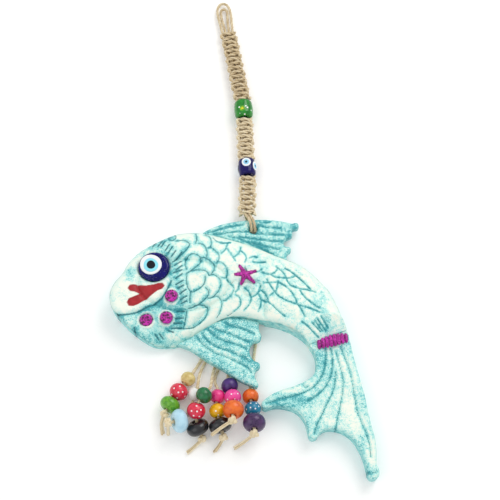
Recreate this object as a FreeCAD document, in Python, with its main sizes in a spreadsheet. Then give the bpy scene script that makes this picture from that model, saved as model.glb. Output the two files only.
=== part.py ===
import FreeCAD, Part
import math
import os

# A ceramic fish with a glass eye, hung from a knotted strap, with a tassel of
# beaded cords tied behind its belly. It lies on its back: Z is up from the
# surface, X runs from nose to tail and Y from the tassel to the strap.

SIZES = {
    # clay
    "fish_crest": 19.5,
    "fish_block": 24.0,
    "dome_ring": 114.0,
    "dome_bulge": 90.0,
    "tail_thick": 13.0,
    "dorsal_base": 3.5,
    "dorsal_thick": 7.0,
    "belly_base": 3.6,
    "belly_thick": 7.9,
    "hollow_long": 32.0,
    "hollow_short": 19.0,
    "hollow_deep": 8.0,
    "channel_deep": 3.3,
    "peg_radius": 3.0,
    "hang_hole_radius": 3.1,
    # eye, buttons, star and tail band
    "eye_radius": 11.5,
    "eye_thick": 6.0,
    "eye_floor": 14.5,
    "white_radius": 8.0,
    "white_thick": 0.6,
    "iris_radius": 5.2,
    "iris_thick": 0.4,
    "pupil_radius": 3.2,
    "pupil_thick": 0.4,
    "button_radius": 4.6,
    "button_thick": 4.4,
    "star_reach": 8.6,
    "star_waist": 3.0,
    "star_floor": 17.6,
    "star_thick": 4.6,
    "band_long": 21.0,
    "band_wide": 8.6,
    "band_thick": 4.4,
    "rib_radius": 1.7,
    # strap
    "strap_wide": 12.6,
    "strap_thick": 5.6,
    "knot_bulge": 1.2,
    "strap_level": 7.4,
    "strap_cord": 2.2,
    "strap_hole_radius": 2.6,
    "green_radius": 7.3,
    "green_half": 7.3,
    "eyebead_radius": 6.6,
    "eyebead_half": 6.5,
    # tassel
    "tassel_cord": 1.9,
    "tie_radius": 4.25,
    "tie_cord": 2.2,
    "tie_level": 1.4,
    "bead_hole_radius": 2.1,
    "knot_radius": 2.9,
}

# Each tassel bead's radius across and its half thickness along the cord.
BEAD_SIZES = {
    "gold_bead": (5.2, 4.9),
    "red_polka_bead_left": (6.4, 5.9),
    "lime_bead": (7.2, 4.6),
    "white_bead": (5.3, 4.9),
    "light_blue_bead": (8.15, 4.4),
    "dark_green_bead": (5.8, 5.3),
    "red_polka_bead_middle": (6.4, 5.8),
    "black_bead_left": (7.9, 4.5),
    "hot_pink_bead": (5.3, 4.9),
    "yellow_bead": (5.7, 5.2),
    "black_bead_right": (7.9, 4.5),
    "purple_bead": (5.9, 5.3),
    "pink_polka_bead": (5.8, 5.2),
    "large_orange_bead": (7.3, 5.6),
    "small_orange_bead": (5.7, 5.2),
    "teal_polka_bead": (5.7, 5.2),
    "dark_purple_bead": (7.8, 5.6),
}
for bead, (across, along) in BEAD_SIZES.items():
    SIZES[bead + "_radius"] = across
    SIZES[bead + "_half"] = along

doc = FreeCAD.newDocument("CeramicFish")
sheet = doc.addObject("Spreadsheet::Sheet", "Sizes")
for row, (alias, value) in enumerate(SIZES.items(), start=1):
    sheet.set("A%d" % row, alias)
    sheet.set("B%d" % row, str(value))
    sheet.setAlias("B%d" % row, alias)
doc.recompute()

nodes = []


def size(alias):
    return float(sheet.get(alias))


def vec(x, y, z=0.0):
    return FreeCAD.Vector(x, y, z)


def bind(thing, **formulas):
    """Tie properties to the sheet; each formula is written with the aliases."""
    for prop, formula in formulas.items():
        words = [("Sizes." + w if w in SIZES else w) for w in formula.split()]
        thing.setExpression(prop.replace("__", "."), " ".join(words))


def named(thing, label):
    thing.Label = label
    nodes.append(thing)
    return thing


def curve_through(points):
    """A line through two points, an arc through three, a spline through more."""
    places = [vec(*p) for p in points]
    if len(places) == 2:
        return Part.LineSegment(*places)
    if len(places) == 3:
        return Part.Arc(*places)
    spline = Part.BSplineCurve()
    spline.interpolate(places)
    return spline


def slab(name, runs, thick, base="0"):
    """A slab of clay with vertical walls; runs is its outline, end to end."""
    sketch = doc.addObject("Sketcher::SketchObject", name + "_outline")
    for run in runs:
        sketch.addGeometry(curve_through(run), False)
    bind(sketch, Placement__Base__z=base)
    block = doc.addObject("Part::Extrusion", name + "_slab")
    block.Base = sketch
    block.DirMode = "Custom"
    block.Dir = vec(0, 0, 1)
    block.Solid = True
    bind(block, LengthFwd=thick)
    doc.recompute()
    return block


def cylinder(name, radius, height, x, y, z="0"):
    disc = doc.addObject("Part::Cylinder", name)
    disc.Placement.Base = vec(x, y, 0)
    bind(disc, Radius=radius, Height=height, Placement__Base__z=z)
    return disc


def cut(name, base, *tools):
    """base with every tool taken out of it."""
    tool = tools[0]
    if len(tools) > 1:
        tool = doc.addObject("Part::MultiFuse", name + "_tools")
        tool.Shapes = list(tools)
    result = doc.addObject("Part::Cut", name)
    result.Base = base
    result.Tool = tool
    return result


def fuse(name, parts):
    result = doc.addObject("Part::MultiFuse", name)
    result.Shapes = parts
    return result


def fixed(name, shape):
    """A piece whose shape comes from Part's own functions."""
    piece = doc.addObject("Part::Feature", name)
    piece.Shape = shape
    piece.Placement = FreeCAD.Placement()
    return piece


def origin_plane(body, role):
    return [f for f in body.Origin.OriginFeatures if f.Role == role][0]


def turned(name, sections, middle, axis):
    """A PartDesign body turned about its own Z, then set along an axis.

    sections are curves in the XZ plane that close a profile."""
    body = doc.addObject("PartDesign::Body", name)
    sketch = body.newObject("Sketcher::SketchObject", name + "_profile")
    sketch.AttachmentSupport = [(origin_plane(body, "XZ_Plane"), "")]
    sketch.MapMode = "FlatFace"
    for curve in sections:
        sketch.addGeometry(curve, False)
    doc.recompute()
    turn = body.newObject("PartDesign::Revolution", name + "_turn")
    turn.Profile = sketch
    turn.ReferenceAxis = (sketch, ["V_Axis"])
    turn.Angle = 360.0
    doc.recompute()
    body.Placement = FreeCAD.Placement(middle, FreeCAD.Rotation(vec(0, 0, 1), axis))
    return body


# --- cords -------------------------------------------------------------------

def rounded_path(points):
    """Straight runs joined by the largest tangent arcs; returns wire, radii."""
    ends = [vec(*p) for p in points]
    runs = [b - a for a, b in zip(ends, ends[1:])]
    edges = []
    radii = []
    start = ends[0]
    for corner, before, after in zip(ends[1:], runs, runs[1:]):
        turn = before.getAngle(after)
        reach = 0.45 * min(before.Length, after.Length)
        radius = reach / math.tan(turn / 2)
        into = FreeCAD.Vector(before).normalize()
        out = FreeCAD.Vector(after).normalize()
        enter = corner - into * reach
        leave = corner + out * reach
        inward = (out - into).normalize()
        crown = corner + inward * (radius / math.cos(turn / 2) - radius)
        edges.append(Part.LineSegment(start, enter).toShape())
        edges.append(Part.Arc(enter, crown, leave).toShape())
        radii.append(radius)
        start = leave
    edges.append(Part.LineSegment(start, ends[-1]).toShape())
    return Part.Wire(edges), radii


def tube(name, points, diameter):
    """A cord's solid: its round section swept along the rounded path."""
    path, radii = rounded_path(points)
    first = vec(*points[0])
    ahead = vec(*points[1]) - first
    section = Part.Wire(Part.makeCircle(diameter / 2, first, ahead))
    solid = path.makePipeShell([section], True, False)
    ideal = math.pi * diameter ** 2 / 4 * path.Length
    told = (name, path.Length, solid.Volume / ideal, min(radii))
    print("%-18s length %6.1f  volume ratio %.4f  least radius %.1f" % told)
    if abs(solid.Volume / ideal - 1) > 0.01:
        raise ValueError(name + " has the wrong volume")
    return fixed(name, solid)


# --- the clay fish -------------------------------------------------------------

# The neck of the tail: the tail slab and the body are joined on this line.
NECK_TOP = (74.7, 8.2)
NECK_BAY = (48.0, -2.2)

body_runs = [
    [NECK_BAY, (46.6, 0.2), (42.2, 4.6), (35.2, 9.0), (28.1, 12.0), (20.9, 13.9),
     (13.8, 15.2), (6.6, 17.0), (-0.5, 18.2), (-8.0, 18.0), (-18.0, 14.5),
     (-28.6, 7.9), (-38.3, 1.6), (-46.7, -1.7), (-53.8, -2.2), (-60.5, -1.4),
     (-66.5, 1.2), (-72.5, 5.2), (-79.2, 10.5), (-84.4, 16.0), (-88.9, 20.6),
     (-91.9, 26.0), (-92.7, 32.5), (-91.4, 39.0), (-88.0, 44.5), (-84.2, 50.0),
     (-81.0, 57.0), (-75.8, 64.0), (-70.0, 69.2), (-64.0, 73.2), (-57.0, 77.4),
     (-50.0, 80.8), (-40.0, 82.8), (-30.0, 82.6), (-21.0, 80.8), (-11.6, 78.0),
     (-0.7, 74.6), (8.1, 71.2), (15.5, 68.2), (21.3, 65.4), (27.5, 62.8),
     (34.6, 60.0), (43.0, 56.0), (50.8, 49.8), (57.9, 42.0), (62.8, 35.8),
     (66.4, 28.4), (69.2, 21.5), (72.1, 14.8), NECK_TOP],
    [NECK_TOP, NECK_BAY],
]

tail_runs = [
    [NECK_BAY, NECK_TOP],
    [NECK_TOP, (76.6, 0.5), (78.3, -8.5), (80.3, -17.5), (82.4, -26.0),
     (84.6, -35.0), (86.3, -44.5), (88.0, -54.7), (90.0, -63.0), (91.2, -70.0),
     (91.4, -78.3), (91.2, -85.4)],
    [(91.2, -85.4), (92.7, -88.4), (92.2, -92.2)],
    [(92.2, -92.2), (88.6, -94.6), (85.0, -91.8)],
    [(85.0, -91.8), (84.4, -86.9), (82.8, -80.5), (79.9, -73.5), (75.1, -66.9),
     (68.4, -62.3), (62.3, -60.9), (56.3, -62.0), (52.8, -64.8)],
    [(52.8, -64.8), (49.0, -67.6), (46.2, -65.2)],
    [(46.2, -65.2), (45.2, -59.5), (42.8, -53.6), (38.9, -49.2), (32.9, -46.5),
     (24.0, -45.4), (17.4, -47.2)],
    [(17.4, -47.2), (14.7, -45.8), (14.9, -42.4)],
    [(14.9, -42.4), (18.2, -39.4), (23.0, -36.4), (30.7, -33.4), (37.6, -31.2),
     (43.1, -28.8), (48.0, -26.0), (51.0, -22.8), (52.6, -16.1), (51.6, -8.4),
     NECK_BAY],
]

dorsal_runs = [
    [(-29.0, 74.0), (-28.0, 84.0)],
    [(-28.0, 84.0), (-25.0, 86.0), (-17.8, 89.5), (-8.2, 92.2), (3.0, 93.9),
     (15.5, 94.6), (28.8, 93.4), (38.2, 91.2)],
    [(38.2, 91.2), (42.7, 89.4), (40.4, 87.2)],
    [(40.4, 87.2), (37.4, 85.0), (37.9, 82.4), (34.2, 79.6), (31.2, 76.6),
     (31.6, 74.0), (34.4, 73.0)],
    [(34.4, 73.0), (36.6, 71.0), (35.0, 68.6)],
    [(35.0, 68.6), (33.2, 65.6), (33.6, 61.8), (32.0, 54.0)],
    [(32.0, 54.0), (-29.0, 74.0)],
]

belly_runs = [
    [(-44.0, 3.0), (-45.8, -1.9)],
    [(-45.8, -1.9), (-40.5, -2.9), (-36.0, -4.8), (-30.9, -7.9), (-26.4, -11.0),
     (-21.4, -14.5), (-14.5, -18.4), (-7.4, -22.7), (-0.4, -27.2), (4.4, -29.6),
     (8.4, -31.2)],
    [(8.4, -31.2), (11.6, -31.6), (12.2, -29.0)],
    [(12.2, -29.0), (10.3, -25.6), (9.8, -22.4), (11.6, -19.2)],
    [(11.6, -19.2), (13.6, -16.6), (11.2, -14.0)],
    [(11.2, -14.0), (8.4, -12.2), (6.6, -8.8), (6.2, -5.2), (7.2, -1.6),
     (10.0, 1.0)],
    [(10.0, 1.0), (14.0, 2.6), (14.4, 5.6)],
    [(14.4, 5.6), (13.0, 9.0), (12.8, 12.4), (13.0, 21.0)],
    [(13.0, 21.0), (-10.0, 24.0)],
    [(-10.0, 24.0), (-44.0, 3.0)],
]

# The arch that the body's back is rounded over, seen from above.
ARCH_MIDDLE = (-26.0, -65.0)
HOLLOW_MIDDLE = (-41.0, 41.0)
PEG = (5.0, 35.0)
HANG_HOLE = (9.0, 86.5)
EYE = (-62.1, 53.8)
BUTTONS = {"cheek_button_upper": (-48.9, 31.5, 17.0),
           "cheek_button_front": (-66.4, 15.1, 12.6),
           "cheek_button_back": (-52.2, 16.6, 13.2)}
STAR = (3.4, 47.6)
STAR_TURN = 22.0
CHANNEL = [(-5.0, 43.0), (13.0, 42.0), (17.0, 32.0), (16.5, 8.0), (-26.0, -4.0),
           (-36.0, 0.0), (-33.0, 13.0)]


def star_outline():
    """Ten points, alternately an arm's tip and the waist between two arms."""
    corners = []
    for step in range(10):
        reach = size("star_reach") if step % 2 == 0 else size("star_waist")
        angle = math.radians(STAR_TURN + 36 * step)
        corners.append((STAR[0] + reach * math.cos(angle),
                        STAR[1] + reach * math.sin(angle)))
    return [[a, b] for a, b in zip(corners, corners[1:] + corners[:1])]


def make_fish_body(block):
    """The domed body, with seats for its trim and a hollow back."""
    arch = doc.addObject("Part::Torus", "fish_arch")
    arch.Placement.Base = vec(ARCH_MIDDLE[0], ARCH_MIDDLE[1], 0)
    bind(arch, Radius1="dome_ring", Radius2="dome_bulge",
         Placement__Base__z="fish_crest - dome_bulge")
    domed = doc.addObject("Part::Common", "fish_domed")
    domed.Base = block
    domed.Tool = arch
    hollow_sketch = doc.addObject("Sketcher::SketchObject", "hollow_outline")
    oval = Part.Ellipse(vec(*HOLLOW_MIDDLE), size("hollow_long"), size("hollow_short"))
    hollow_sketch.addGeometry(oval, False)
    hollow = doc.addObject("Part::Extrusion", "hollow")
    hollow.Base = hollow_sketch
    hollow.DirMode = "Custom"
    hollow.Dir = vec(0, 0, 1)
    hollow.Solid = True
    bind(hollow, LengthFwd="hollow_deep")
    sides = [[a, b] for a, b in zip(CHANNEL, CHANNEL[1:] + CHANNEL[:1])]
    channel = slab("channel", sides, "channel_deep")
    peg = cylinder("peg", "peg_radius", "channel_deep", *PEG)
    ring_room = cut("channel_round_peg", channel, peg)
    tools = [hollow, ring_room]
    tools.append(cylinder("eye_seat", "eye_radius", "eye_thick", *EYE, "eye_floor"))
    for label, (x, y, z) in BUTTONS.items():
        tools.append(cylinder(label + "_seat", "button_radius", "button_thick",
                              x, y, str(z)))
    tools.append(slab("star_seat", star_outline(), "star_thick", "star_floor"))
    return named(cut("fish_body", domed, *tools), "fish_body")


def make_fins(block):
    """The three fin slabs; the roots of two are cut to the body's wall."""
    named(slab("tail_fin", tail_runs, "tail_thick"), "tail_fin")
    belly = slab("belly_raw", belly_runs, "belly_thick", "belly_base")
    named(cut("belly_fin", belly, block), "belly_fin")
    dorsal = slab("dorsal_raw", dorsal_runs, "dorsal_thick", "dorsal_base")
    hole = cylinder("hanging_hole", "hang_hole_radius", "fish_block", *HANG_HOLE)
    named(cut("dorsal_fin", dorsal, block, hole), "dorsal_fin")


# --- trim on the fish ------------------------------------------------------------

def make_eye():
    glass = cylinder("eye_glass", "eye_radius", "eye_thick", *EYE, "eye_floor")
    named(glass, "eye_glass")
    level = "eye_floor + eye_thick"
    for label, x, y in (("white", -64.2, 54.8), ("iris", -64.1, 54.2),
                        ("pupil", -64.0, 54.3)):
        disc = cylinder("eye_" + label, label + "_radius", label + "_thick", x, y, level)
        named(disc, "eye_" + label)
        level += " + %s_thick" % label


def make_buttons():
    for label, (x, y, z) in BUTTONS.items():
        disc = cylinder(label, "button_radius", "button_thick", x, y, str(z))
        named(disc, label)


def make_star():
    named(slab("starfish", star_outline(), "star_thick", "star_floor"), "starfish")


BAND_MIDDLE = (64.3, -1.6)
BAND_TURN = 21.3
RIB_COUNT = 7


def make_tail_band():
    """A ribbed bar of clay across the neck of the tail."""
    bar = doc.addObject("Part::Box", "band_bar")
    bind(bar, Length="band_long", Width="band_wide", Height="band_thick")
    spin = FreeCAD.Rotation(vec(0, 0, 1), BAND_TURN)
    middle = vec(*BAND_MIDDLE, size("tail_thick"))
    half = vec(size("band_long") / 2, size("band_wide") / 2)
    bar.Placement = FreeCAD.Placement(middle - spin.multVec(half), spin)
    parts = [bar]
    pitch = size("band_long") / RIB_COUNT
    for rib in range(RIB_COUNT):
        along = (rib + 0.5) * pitch - size("band_long") / 2
        roll = doc.addObject("Part::Cylinder", "band_rib_%d" % (rib + 1))
        bind(roll, Radius="rib_radius", Height="band_wide")
        start = vec(along, -size("band_wide") / 2, size("band_thick") - 0.4)
        lay = spin.multiply(FreeCAD.Rotation(vec(1, 0, 0), -90))
        roll.Placement = FreeCAD.Placement(middle + spin.multVec(start), lay)
        parts.append(roll)
    named(fuse("tail_band", parts), "tail_band")


# --- strap -----------------------------------------------------------------------

# The strap's line: each knotted length from its lower end to its upper end.
LEVEL = SIZES["strap_level"]
SINNETS = {
    "strap_sinnet_lower": ((4.4, 98.8, LEVEL), (4.9, 131.6, LEVEL), 4),
    "strap_sinnet_middle": ((3.8, 145.2, LEVEL), (2.2, 181.6, LEVEL), 4),
    "strap_sinnet_upper": ((1.0, 196.9, LEVEL), (-11.3, 263.0, 4.2), 7),
}
CORE_GAP = 1.2
CORE_ROOT = 1.5


def across_of(start, end):
    """The unit direction across the strap, level with the surface."""
    along = end - start
    return vec(along.y, -along.x, 0).normalize()


def rod(name, start, end, diameter):
    """A straight length of cord between two places."""
    stick = doc.addObject("Part::Cylinder", name)
    bind(stick, Radius=diameter + " / 2")
    stick.Height = (end - start).Length
    turn = FreeCAD.Rotation(vec(0, 0, 1), end - start)
    stick.Placement = FreeCAD.Placement(start, turn)
    return stick


def core_cords(name, start, end):
    """The two straight cords that run through a bead, from inside a bar's end."""
    across = across_of(start, end) * CORE_GAP
    root = start + (start - end).normalize() * CORE_ROOT
    return [rod(name + "_core_a", root + across, end + across, "strap_cord"),
            rod(name + "_core_b", root - across, end - across, "strap_cord")]


def make_sinnet(label):
    """A flat bar of square knots: its sides bulge once at every knot."""
    start = vec(*SINNETS[label][0])
    end = vec(*SINNETS[label][1])
    knots = SINNETS[label][2]
    along = end - start
    pitch = along.Length / knots
    crest = size("strap_wide") / 2
    waist = crest - size("knot_bulge")
    left = []
    right = []
    for knot in range(knots):
        low = knot * pitch
        high = low + pitch
        right.append([(waist, low), (crest, low + pitch / 2), (waist, high)])
        left.append([(-waist, high), (-crest, low + pitch / 2), (-waist, low)])
    far_end = [[(waist, along.Length), (-waist, along.Length)]]
    near_end = [[(-waist, 0), (waist, 0)]]
    body = doc.addObject("PartDesign::Body", label + "_bar")
    sketch = body.newObject("Sketcher::SketchObject", label + "_outline")
    sketch.AttachmentSupport = [(origin_plane(body, "XY_Plane"), "")]
    sketch.MapMode = "FlatFace"
    for run in right + far_end + left[::-1] + near_end:
        sketch.addGeometry(curve_through(run), False)
    doc.recompute()
    pad = body.newObject("PartDesign::Pad", label + "_pad")
    pad.Profile = sketch
    pad.Midplane = True
    bind(pad, Length="strap_thick")
    doc.recompute()
    turn = FreeCAD.Rotation(across_of(start, end), along, vec(0, 0, 1), "XYZ")
    body.Placement = FreeCAD.Placement(start, turn)
    return body


def make_strap():
    bars = {label: make_sinnet(label) for label in SINNETS}
    ends = {key: (vec(*value[0]), vec(*value[1])) for key, value in SINNETS.items()}
    eye_ends = (ends["strap_sinnet_lower"][1], ends["strap_sinnet_middle"][0])
    green_ends = (ends["strap_sinnet_middle"][1], ends["strap_sinnet_upper"][0])
    cores = {"strap_sinnet_lower": core_cords("eye_bead", *eye_ends),
             "strap_sinnet_upper": core_cords("green_bead", *reversed(green_ends))}
    named(bars["strap_sinnet_middle"], "strap_sinnet_middle")
    for label, rods in cores.items():
        named(fuse(label, [bars[label]] + rods), label)
    make_bead("strap_eye_bead", "eyebead", *eye_ends, "strap_hole_radius")
    make_bead("strap_green_bead", "green", *green_ends, "strap_hole_radius")


# Two folded cords tie the strap to the dorsal fin: over its edge, down through
# the hole and back up behind it. Each starts and ends in the lowest knot.
ANCHOR_CORDS = {
    "anchor_cord_left": [(3.1, 99.6, 8.4), (5.2, 95.4, 12.8), (7.2, 90.3, 13.6),
                         (7.7, 85.6, 10.2), (7.7, 85.6, 4.0), (7.2, 89.9, 1.5),
                         (5.2, 95.4, 1.7), (3.1, 99.6, 5.6)],
    "anchor_cord_right": [(5.7, 99.6, 8.4), (7.8, 95.4, 12.8), (9.8, 90.3, 13.6),
                          (10.3, 85.6, 10.2), (10.3, 85.6, 4.0), (9.8, 89.9, 1.5),
                          (7.8, 95.4, 1.7), (5.7, 99.6, 5.6)],
}

# The hanging loops at the top: one inside the other.
HANGING_LOOPS = {
    "hanging_loop_outer": [(-15.6, 262.0, 4.2), (-18.0, 273.0, 3.6),
                           (-20.8, 284.5, 3.0), (-18.6, 292.4, 2.6),
                           (-12.6, 292.6, 2.6), (-9.6, 285.2, 3.0),
                           (-8.4, 273.5, 3.6), (-7.4, 262.0, 4.2)],
    "hanging_loop_inner": [(-12.9, 262.0, 4.2), (-14.6, 269.0, 3.5),
                           (-16.3, 276.0, 2.9), (-17.3, 281.6, 2.6),
                           (-17.5, 285.9, 2.5), (-14.9, 287.5, 2.5),
                           (-12.3, 285.9, 2.5), (-12.0, 281.6, 2.6),
                           (-11.8, 276.0, 2.9), (-11.2, 269.0, 3.5),
                           (-10.1, 262.0, 4.2)],
}


# --- beads --------------------------------------------------------------------------

def make_bead(label, kind, start, end, hole):
    """A turned oval bead, halfway along the stretch of cord from start to end."""
    wide = size(kind + "_radius")
    tall = size(kind + "_half")
    inner = size(hole)
    top = tall * math.sqrt(1 - (inner / wide) ** 2)
    rim = Part.Arc(vec(inner, -top), vec(wide, 0), vec(inner, top))
    bore = Part.LineSegment(vec(inner, top), vec(inner, -top))
    bead = turned(label, [rim, bore], (start + end) / 2, end - start)
    return named(bead, label)


# --- tassel ----------------------------------------------------------------------------

# Each strand leaves the tie ring, runs under the fish and out below the belly
# fin, and then passes through its beads: one run of the route for each bead.
# The last run ends in the middle of the strand's knot. A run with no bead is
# None, counted from the strand's last run backwards.
STRANDS = {
    "strand_1": {
        "route": [(0.6, 33.8, 1.3), (-7.0, 29.0, 1.3), (-14.8, 18.0, 1.3),
                  (-22.8, 1.5, 1.3), (-27.4, -9.8, 1.4), (-30.8, -15.6, 2.3),
                  (-33.5, -21.0, 5.5),
                  (-39.5, -29.0, 6.5), (-46.0, -39.5, 6.5), (-52.0, -50.0, 8.5)],
        "beads": ["gold_bead", "red_polka_bead_left", "lime_bead"],
        "tail": [(-52.0, -50.0, 8.5), (-54.0, -56.5, 5.0), (-53.0, -63.0, 1.5)]},
    "strand_2": {
        "route": [(1.5, 32.0, 1.3), (-3.8, 25.5, 1.3), (-11.8, 13.5, 1.3),
                  (-19.8, -1.0, 1.3), (-24.9, -11.6, 1.5), (-29.0, -21.5, 3.5),
                  (-29.5, -31.5, 7.5), (-32.5, -39.5, 3.5), (-36.2, -47.6, 5.2),
                  (-36.3, -54.3, 10.2),
                  (-48.7, -57.7, 15.8)],
        "beads": ["white_bead", None, None, "light_blue_bead"],
        "tail": [(-48.7, -57.7, 15.8), (-49.0, -61.0, 9.0), (-49.5, -64.0, 1.5)]},
    "strand_3": {
        "route": [(3.2, 30.8, 1.3), (0.2, 23.5, 1.3), (-6.2, 10.5, 1.3),
                  (-13.0, -4.5, 1.3), (-18.8, -16.5, 1.5), (-19.8, -25.5, 6.5),
                  (-20.5, -34.5, 14.5), (-29.0, -42.5, 14.5), (-31.1, -54.9, 10.3),
                  (-25.8, -65.9, 3.2)],
        "beads": ["dark_green_bead", "red_polka_bead_middle", "black_bead_left"],
        "tail": [(-25.8, -65.9, 3.2), (-31.0, -71.0, 1.6), (-36.5, -75.5, 1.4)]},
    "strand_4": {
        "route": [(5.2, 30.4, 1.3), (3.6, 22.0, 1.3), (-2.6, 8.0, 1.3),
                  (-10.0, -6.5, 1.3), (-16.2, -17.6, 1.5), (-18.6, -26.5, 2.4),
                  (-15.0, -32.5, 6.5), (-16.5, -42.5, 7.0), (-15.0, -53.0, 8.0),
                  (-11.2, -66.0, 8.6)],
        "beads": ["hot_pink_bead", "yellow_bead", "black_bead_right"],
        "tail": [(-11.2, -66.0, 8.6), (-14.5, -71.0, 4.0), (-18.0, -75.0, 1.5)]},
    "strand_5": {
        "route": [(7.2, 31.0, 1.3), (7.2, 22.0, 1.3), (3.0, 7.5, 1.3),
                  (-3.0, -7.5, 1.3), (-8.6, -19.0, 1.5), (-9.0, -25.5, 3.5),
                  (-6.0, -34.5, 8.5), (-4.5, -43.5, 13.5), (-5.0, -56.8, 19.9)],
        "beads": ["purple_bead", "pink_polka_bead", "large_orange_bead"],
        "tail": [(-5.0, -56.8, 19.9), (-12.5, -61.0, 17.0), (-19.5, -65.5, 13.0)]},
    "strand_6": {
        "route": [(8.8, 32.4, 1.3), (11.2, 24.0, 1.3), (11.6, 12.0, 1.3),
                  (10.4, 0.0, 1.3), (9.2, -9.5, 1.3), (7.8, -20.0, 1.3),
                  (7.0, -26.6, 1.4), (6.5, -32.8, 2.8), (7.5, -42.0, 8.6),
                  (9.5, -52.0, 11.4), (9.5, -65.2, 17.0)],
        "beads": ["small_orange_bead", "teal_polka_bead", "dark_purple_bead"],
        "tail": [(9.5, -65.2, 17.0), (2.5, -69.0, 8.0), (-4.0, -72.0, 1.6)]},
}


def make_tie():
    """The ring of cord, tied round the peg, that holds the six strands."""
    ring = doc.addObject("Part::Torus", "tassel_tie")
    ring.Placement.Base = vec(*PEG)
    bind(ring, Radius1="tie_radius", Radius2="tie_cord / 2",
         Placement__Base__z="tie_level")
    named(ring, "tassel_tie")


def make_knot(label, middle, tail):
    """A round knot with its cut tail."""
    ball = doc.addObject("Part::Sphere", label + "_ball")
    ball.Placement.Base = middle
    bind(ball, Radius="knot_radius")
    end = tube(label + "_tail", tail, size("tassel_cord") * 1.1)
    named(fuse(label, [ball, end]), label)


def make_strand(name, plan):
    route = plan["route"]
    named(tube(name, route, size("tassel_cord")), name)
    places = [vec(*p) for p in route]
    knot_middle = places[-1]
    last = places[-1] - places[-2]
    clear = size("knot_radius") + 0.2
    places[-1] = knot_middle - last.normalize() * clear
    stretches = list(zip(places, places[1:]))[-len(plan["beads"]):]
    for label, (start, end) in zip(plan["beads"], stretches):
        if label:
            make_bead(label, label, start, end, "bead_hole_radius")
    make_knot(name.replace("strand", "knot"), knot_middle, plan["tail"])


def check_and_export():
    doc.recompute()
    for thing in doc.Objects:
        if "Invalid" in thing.State or "Error" in thing.State:
            raise ValueError("%s failed: %s" % (thing.Name, thing.State))
    os.makedirs("parts", exist_ok=True)
    for thing in nodes:
        shape = thing.Shape
        if shape.isNull() or not shape.isValid():
            raise ValueError("%s has a bad shape" % thing.Label)
        told = (thing.Label, len(shape.Solids), shape.Volume / 1000)
        print("%-24s %d solid %8.3f cm3" % told)
        shape.exportStep("parts/%s.step" % thing.Label)


fish_block = slab("fish_block_raw", body_runs, "fish_block")
make_fish_body(fish_block)
make_fins(fish_block)
make_eye()
make_buttons()
make_star()
make_tail_band()
make_strap()
for cord_name, cord_route in {**HANGING_LOOPS, **ANCHOR_CORDS}.items():
    named(tube(cord_name, cord_route, size("strap_cord")), cord_name)
make_tie()
for strand_name, strand_plan in STRANDS.items():
    make_strand(strand_name, strand_plan)
check_and_export()
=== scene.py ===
import math

import bmesh
import bpy
import numpy as np
from mathutils import Matrix, Vector
from mathutils.kdtree import KDTree


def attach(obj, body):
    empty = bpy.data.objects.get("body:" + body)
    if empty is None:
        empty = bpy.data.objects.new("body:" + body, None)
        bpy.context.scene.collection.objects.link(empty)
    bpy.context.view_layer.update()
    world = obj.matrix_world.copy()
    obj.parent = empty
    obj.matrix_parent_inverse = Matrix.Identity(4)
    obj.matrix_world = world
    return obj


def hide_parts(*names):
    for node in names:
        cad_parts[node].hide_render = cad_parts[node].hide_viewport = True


# A ceramic fish wall hanging: the clay fish with its glass eye, the knotted
# hemp strap and the tassel of painted wooden beads. Sizes below are in
# millimetres unless a name says otherwise; MM turns them into metres.

MM = 0.001
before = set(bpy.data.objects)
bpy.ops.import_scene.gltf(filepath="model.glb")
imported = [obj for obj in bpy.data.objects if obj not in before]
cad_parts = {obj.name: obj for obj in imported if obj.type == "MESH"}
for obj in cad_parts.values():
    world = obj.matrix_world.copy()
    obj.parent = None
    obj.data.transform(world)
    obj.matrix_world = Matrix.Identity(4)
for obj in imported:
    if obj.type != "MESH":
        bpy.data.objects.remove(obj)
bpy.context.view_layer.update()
scene = bpy.context.scene


# --- camera, floor and light ---------------------------------------------------

def aim(thing, place, target):
    """Set thing at place, looking along its -Z at target."""
    look = (Vector(target) - Vector(place)).to_track_quat("-Z", "Y")
    thing.location = place
    thing.rotation_euler = look.to_euler()


def make_camera():
    data = bpy.data.cameras.new("camera")
    data.lens = 66.96
    data.sensor_width = 36.0
    data.clip_start = 0.01
    camera = bpy.data.objects.new("camera", data)
    scene.collection.objects.link(camera)
    aim(camera, (0.0066, -0.1843, 0.6398), (0.0066, 0.0742, 0.0))
    scene.camera = camera


def area_light(name, place, side, power, colour):
    data = bpy.data.lights.new(name, "AREA")
    data.shape = "RECTANGLE"
    data.size = side
    data.size_y = side
    data.energy = power
    data.color = colour
    lamp = bpy.data.objects.new(name, data)
    scene.collection.objects.link(lamp)
    aim(lamp, place, (0, 0.05, 0))


WORLD_LIGHT = 0.74
KEY_LIGHT = 6.5
FILL_LIGHT = 2.0
# The paper lights itself a little, so that shadows on it stay thin.
PAPER_GLOW = 0.10


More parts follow.
